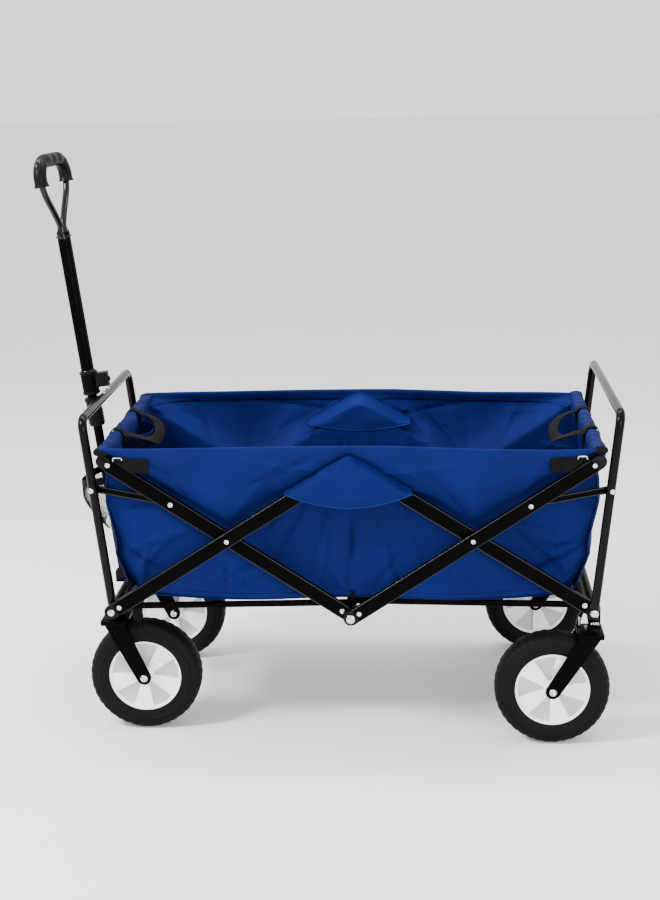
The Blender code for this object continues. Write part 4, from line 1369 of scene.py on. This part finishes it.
def make_mat():
    """The folding floor mat: four covered boards with sewn hinges between them."""
    low, high = node_box("floor_mat")
    half_x, half_y = 364.0, high.y - 1.0
    columns, rows = 168, 60
    seams = [half_x * k / 2 for k in range(-2, 3)]

    def cover(base, puffed, rippled):
        def spot(s, t):
            dx, y = half_x * (2 * s - 1), half_y * (2 * t - 1)
            near_edge = min(*[abs(dx - seam) for seam in seams], half_y - abs(y))
            puff = 1 - math.exp(-near_edge / 5.0)
            ripple = rippled * math.sin(dx * 0.05 + y * 0.03) * puff
            return at(dx, y, base + puffed * puff + ripple), (dx, y)

        return grid(columns, rows, spot)

    (upper, faces), uvs = cover(high.z - 3.6, 3.2, 0.25)
    (lower, _), _ = cover(low.z + 2.2, -2.0, 0.0)
    count = len(upper)
    under = [tuple(count + i for i in reversed(face)) for face in faces]
    rim = [c * rows for c in range(columns)]
    rim += [rim[-1] + r for r in range(1, rows)]
    rim += [rim[-1] - c * rows for c in range(1, columns)]
    rim += [rim[-1] - r for r in range(1, rows)]
    walls = [(b, a, count + a, count + b) for a, b in zip(rim, rim[1:])]
    shape = upper + lower, faces + under + walls
    mat = cloth_piece("floor_mat_cover", shape, uvs + uvs, BLUE, 0.0, ("floor_mat",), 50.0)


# ---------------------------------------------------------------- trim on the cloth


def surface_offset(dx, z, side, lift):
    return at(dx, side * (panel_y(dx, z, side) + lift), z)


def thread_row(points, normal, lift=0.35):
    """Stitches along a line of points: short flat beads of thread that follow the cloth."""
    pitch, long, half = 4.2, 2.8, 0.42
    stations = ((-long / 2, 0.3, 0.25), (-long / 4, 1.0, 1.0), (long / 4, 1.0, 1.0), (long / 2, 0.3, 0.25))
    shapes = []
    travelled, due = 0.0, pitch / 2
    for a, b in zip(points, points[1:]):
        length = (b - a).length
        ahead = (b - a).normalized()
        sideways = ahead.cross(normal).normalized()
        while due <= travelled + length:
            here = a.lerp(b, (due - travelled) / length)
            ring = []
            for way, wide, high in stations:
                for sa, sb in ((1, 0), (0, 1), (-1, 0), (0, -1)):
                    spot = here + ahead * way + sideways * half * wide * sa
                    ring.append(spot + normal * (lift + half * 0.7 * sb * high))
            shapes.append((ring, strips(4, 4)))
            due += pitch
        travelled += length
    return join(*shapes)


def make_stitching():
    for side, near_far in SIDES:
        lines = [[(dx, hem_z(dx) + above, 0.5) for dx in np.linspace(-368, 368, 124)] for above in (2.6, 7.0)]
        lines += [[(end * (edge_run(z) - inset), z, 0.6) for z in np.linspace(HEM_END_Z + 4, 478.0, 48)]
                  for inset in (6.0, 13.0) for end, _ in ENDS]
        lines += [[(dx, rim_z(dx) - below, 0.6) for dx in np.linspace(-386, 386, 130)]
                  for below in (16.0, 19.5)]
        rows = [thread_row([surface_offset(dx, z, side, lift) for dx, z, lift in line], ACROSS * side)
                for line in lines]
        cloth_piece("side_stitching_" + near_far, join(*rows), None, THREAD)


def make_hems():
    """The folded hems: a second layer of cloth along each side panel's lower edge."""
    for side, near_far in SIDES:
        def spot(u, v):
            s = 2 * u - 1
            nominal = SIDE_HALF * s
            z = hem_z(nominal) + 9.0 * v
            swell = 1.1 * max(math.sin(math.pi * v), 0.0) ** 0.5
            y = panel_y(nominal, z, side) + 0.5 + swell * 0.8
            return at(s * edge_run(z), side * y, z), (nominal, z)

        shape, uvs = grid(132, 7, spot, flip=side > 0)
        cloth_piece("hem_band_" + near_far, shape, uvs, BLUE, 0.7)


def taut_y(dx, low, high, side):
    """Where a strap pulled tight over the side panel lies at dx, between two heights."""
    return max(panel_y(dx, low + (high - low) * k / 6, side) for k in range(7))


def surface_patch(start, stop, low, high, side, lift):
    """A band of webbing over the side panel between two runs and two heights, above the bars."""
    def spot(s, t):
        dx = start + (stop - start) * s
        bottom = min(max(low, bar_line(dx) + 2.8), high - 3.0)
        z = bottom + (high - bottom) * t
        return at(dx, side * (taut_y(dx, bottom, high, side) + lift), z), (dx, z)

    return grid(18, 7, spot, flip=(side > 0) == (stop > start))


def make_corner_patches():
    """Webbing anchors near the rim's corners, each with a folded end and a wire D-ring."""
    base = bar_line(360.0)
    outline = ((7.2, -3.2), (7.2, 0.0), (5.4, 1.8), (-5.4, 1.8), (-7.2, 0.0), (-7.2, -2.0))
    for side, near_far, end, place in CORNERS:
        shapes, uvs = [], []
        for first, last, lift in ((390.0, 324.0, 1.4), (338.0, 323.0, 3.0)):
            patch, patch_uvs = surface_patch(end * first, end * last, base - 0.5, base + 23.5, side, lift)
            shapes.append(patch)
            uvs += patch_uvs
        cloth_piece(f"corner_patch_{place}_{near_far}", join(*shapes), uvs, WEBBING, 1.3)
        x, z = end * 374.0, base + 22.5
        y = side * (max(taut_y(x + a, z - 6.0, z + 5.0, side) for a in (-8.0, 0.0, 8.0)) + 2.6)
        wire = [at(x + end * a, y, z + b) for a, b in outline]
        ring = sweep(smooth_path(wire, 4), circle(1.05, 10))
        cloth_piece(f"corner_ring_{place}_{near_far}", ring, None, STEEL)


def make_bottom_loops():
    """Small webbing loops that tie the hem to the frame at its corners and middle."""
    corner = ((371.0, 266.0, 1.2), (370.0, 259.0, 1.6)), ((374.0, 2.0, 246.0), (383.0, 4.0, 240.0)), 3.6
    centre = ((0.0, 252.0, 1.6), (0.0, 246.0, 2.0)), ((0.0, 1.0, 238.0), (0.0, 3.0, 226.0)), 5.0
    for side, near_far in SIDES:
        straps, uvs = [], []
        for end, (sewn, hanging, half_width) in ((-1, corner), (1, corner), (1, centre)):
            path = [surface_offset(end * dx, z, side, lift) for dx, z, lift in sewn]
            path += [at(end * dx, side * (PANEL_Y - inward), z) for dx, inward, z in hanging]
            strap, strap_uvs = ribbon(smooth_path(path, 5), Vector((1, 0, 0)), half_width, 1.4)
            straps.append(strap)
            uvs += strap_uvs
        cloth_piece("hem_loops_" + near_far, join(*straps), uvs, WEBBING)


def net_mesh(surface, columns, rows):
    """Net over a surface(u, v): a diamond lattice that a Wireframe modifier turns into cords."""
    wide, high = columns * 2, rows * 2
    knots = [(c, r) for c in range(wide + 1) for r in range(high + 1) if (c + r) % 2 == 0]
    index = {knot: i for i, knot in enumerate(knots)}
    faces = [(index[c - 1, r], index[c, r - 1], index[c + 1, r], index[c, r + 1])
             for c in range(1, wide) for r in range(1, high) if (c + r) % 2 == 1]
    return [surface(c / wide, r / high) for c, r in knots], faces


def make_pockets():
    """Two net cup pockets outside the front end, and one inside with a bound blue rim."""
    pockets = (
        ("near", -114.0, -1, 62.0, 44.0, 350.0, 436.0, 15.0, WEBBING),
        ("far", 114.0, -1, 62.0, 44.0, 350.0, 436.0, 15.0, WEBBING),
        ("inside", 36.0, 1, 58.0, 32.0, 385.0, 472.0, 4.0, BLUE),
    )
    for tag, centre_y, way, half_width, depth, low, high, sag, look in pockets:
        def surface(u, v):
            angle = math.pi * u
            bowl = min(1.0, math.sin(math.pi / 2 * min(1.0, 0.25 + v * 1.1)))
            y = centre_y - half_width * math.cos(angle) * (0.86 + 0.14 * v)
            z = low + (high - low) * v - sag * math.sin(angle) * v
            return at(way * (1.6 + depth * math.sin(angle) ** 0.8 * bowl) - end_x(y, z, -1), y, z)

        made = cloth_piece("net_pocket_" + tag, net_mesh(surface, 26, 17), None, NET)
        wires = made.modifiers.new("cords", "WIREFRAME")
        wires.thickness = 1.15 * MM
        wires.use_even_offset = False
        rim = [surface(u, 1.0) + UP * 0.5 for u in np.linspace(0, 1, 40)]
        shape, uvs = ribbon(rim, UP, 6.5, 2.2)
        cloth_piece("net_pocket_rim_" + tag, shape, uvs, look)


# ---------------------------------------------------------------- studio


def make_stage():
    mesh = bpy.data.meshes.new("studio_floor")
    corners = [(-30.0, -30.0, 0), (30.0, -30.0, 0), (30.0, 30.0, 0), (-30.0, 30.0, 0)]
    mesh.from_pydata(corners, [], [(0, 1, 2, 3)])
    floor = add_object("studio_floor", mesh)
    look = new_material("pale_floor", (0.86, 0.86, 0.86), 0.7)
    dress(look, ramp(look, noise(look, 3.0), (0.85, 0.85, 0.85), (0.87, 0.87, 0.87)), None, None)
    mesh.materials.append(look)
    world = bpy.data.worlds.new("studio")
    world.use_nodes = True
    background = world.node_tree.nodes["Background"]
    background.inputs["Color"].default_value = (1.0, 1.0, 1.0, 1.0)
    background.inputs["Strength"].default_value = 1.6
    bpy.context.scene.world = world
    lamps = (
        ("key", (-1.8, -1.2, 2.3), (0.6, 0.6), 120.0),
        ("strip", (0.05, 0.25, 2.3), (2.4, 0.35), 46.0),
        ("fill", (1.2, -2.9, 1.1), (1.2, 1.2), 56.0),
    )
    target = Vector((0.03, 0.0, 0.35))
    for name, place, size, power in lamps:
        lamp = bpy.data.lights.new(name, "AREA")
        lamp.shape, lamp.size, lamp.size_y, lamp.energy = "RECTANGLE", *size, power
        lit = add_object(name, lamp)
        lit.location = place
        lit.rotation_mode = "QUATERNION"
        lit.rotation_quaternion = (target - Vector(place)).to_track_quat("-Z", "Y")


def make_camera():
    """A standing photographer's view of the near side, a little right of its middle."""
    place = Vector((0.17392, -2.7606, 1.10698))
    yaw, pitch, roll = -0.063, 0.235, 0.019
    forward = Vector((math.sin(yaw) * math.cos(pitch), math.cos(yaw) * math.cos(pitch), -math.sin(pitch)))
    right = Vector((math.cos(yaw), -math.sin(yaw), 0.0))
    down = forward.cross(right)
    tilted = right * math.cos(roll) + down * math.sin(roll)
    lower = down * math.cos(roll) - right * math.sin(roll)
    data = bpy.data.cameras.new("camera")
    data.sensor_width = 36.0
    data.lens = 64.93
    data.clip_start, data.clip_end = 0.05, 100.0
    camera = add_object("camera", data)
    turn = Matrix((tilted, -lower, -forward)).transposed().to_4x4()
    camera.matrix_world = Matrix.Translation(place) @ turn
    bpy.context.scene.camera = camera


MAKERS = (make_stage, make_camera, make_bars, make_links, make_hoops, make_cross_tubes, make_rails,
          make_wheels, make_forks, make_handle, make_side_panels, make_end_panels, make_rolls,
          make_strap_wraps, make_strap_loops, make_flaps, make_floor, make_hems, make_stitching,
          make_corner_patches, make_bottom_loops, make_pockets)
for make in MAKERS:
    make()
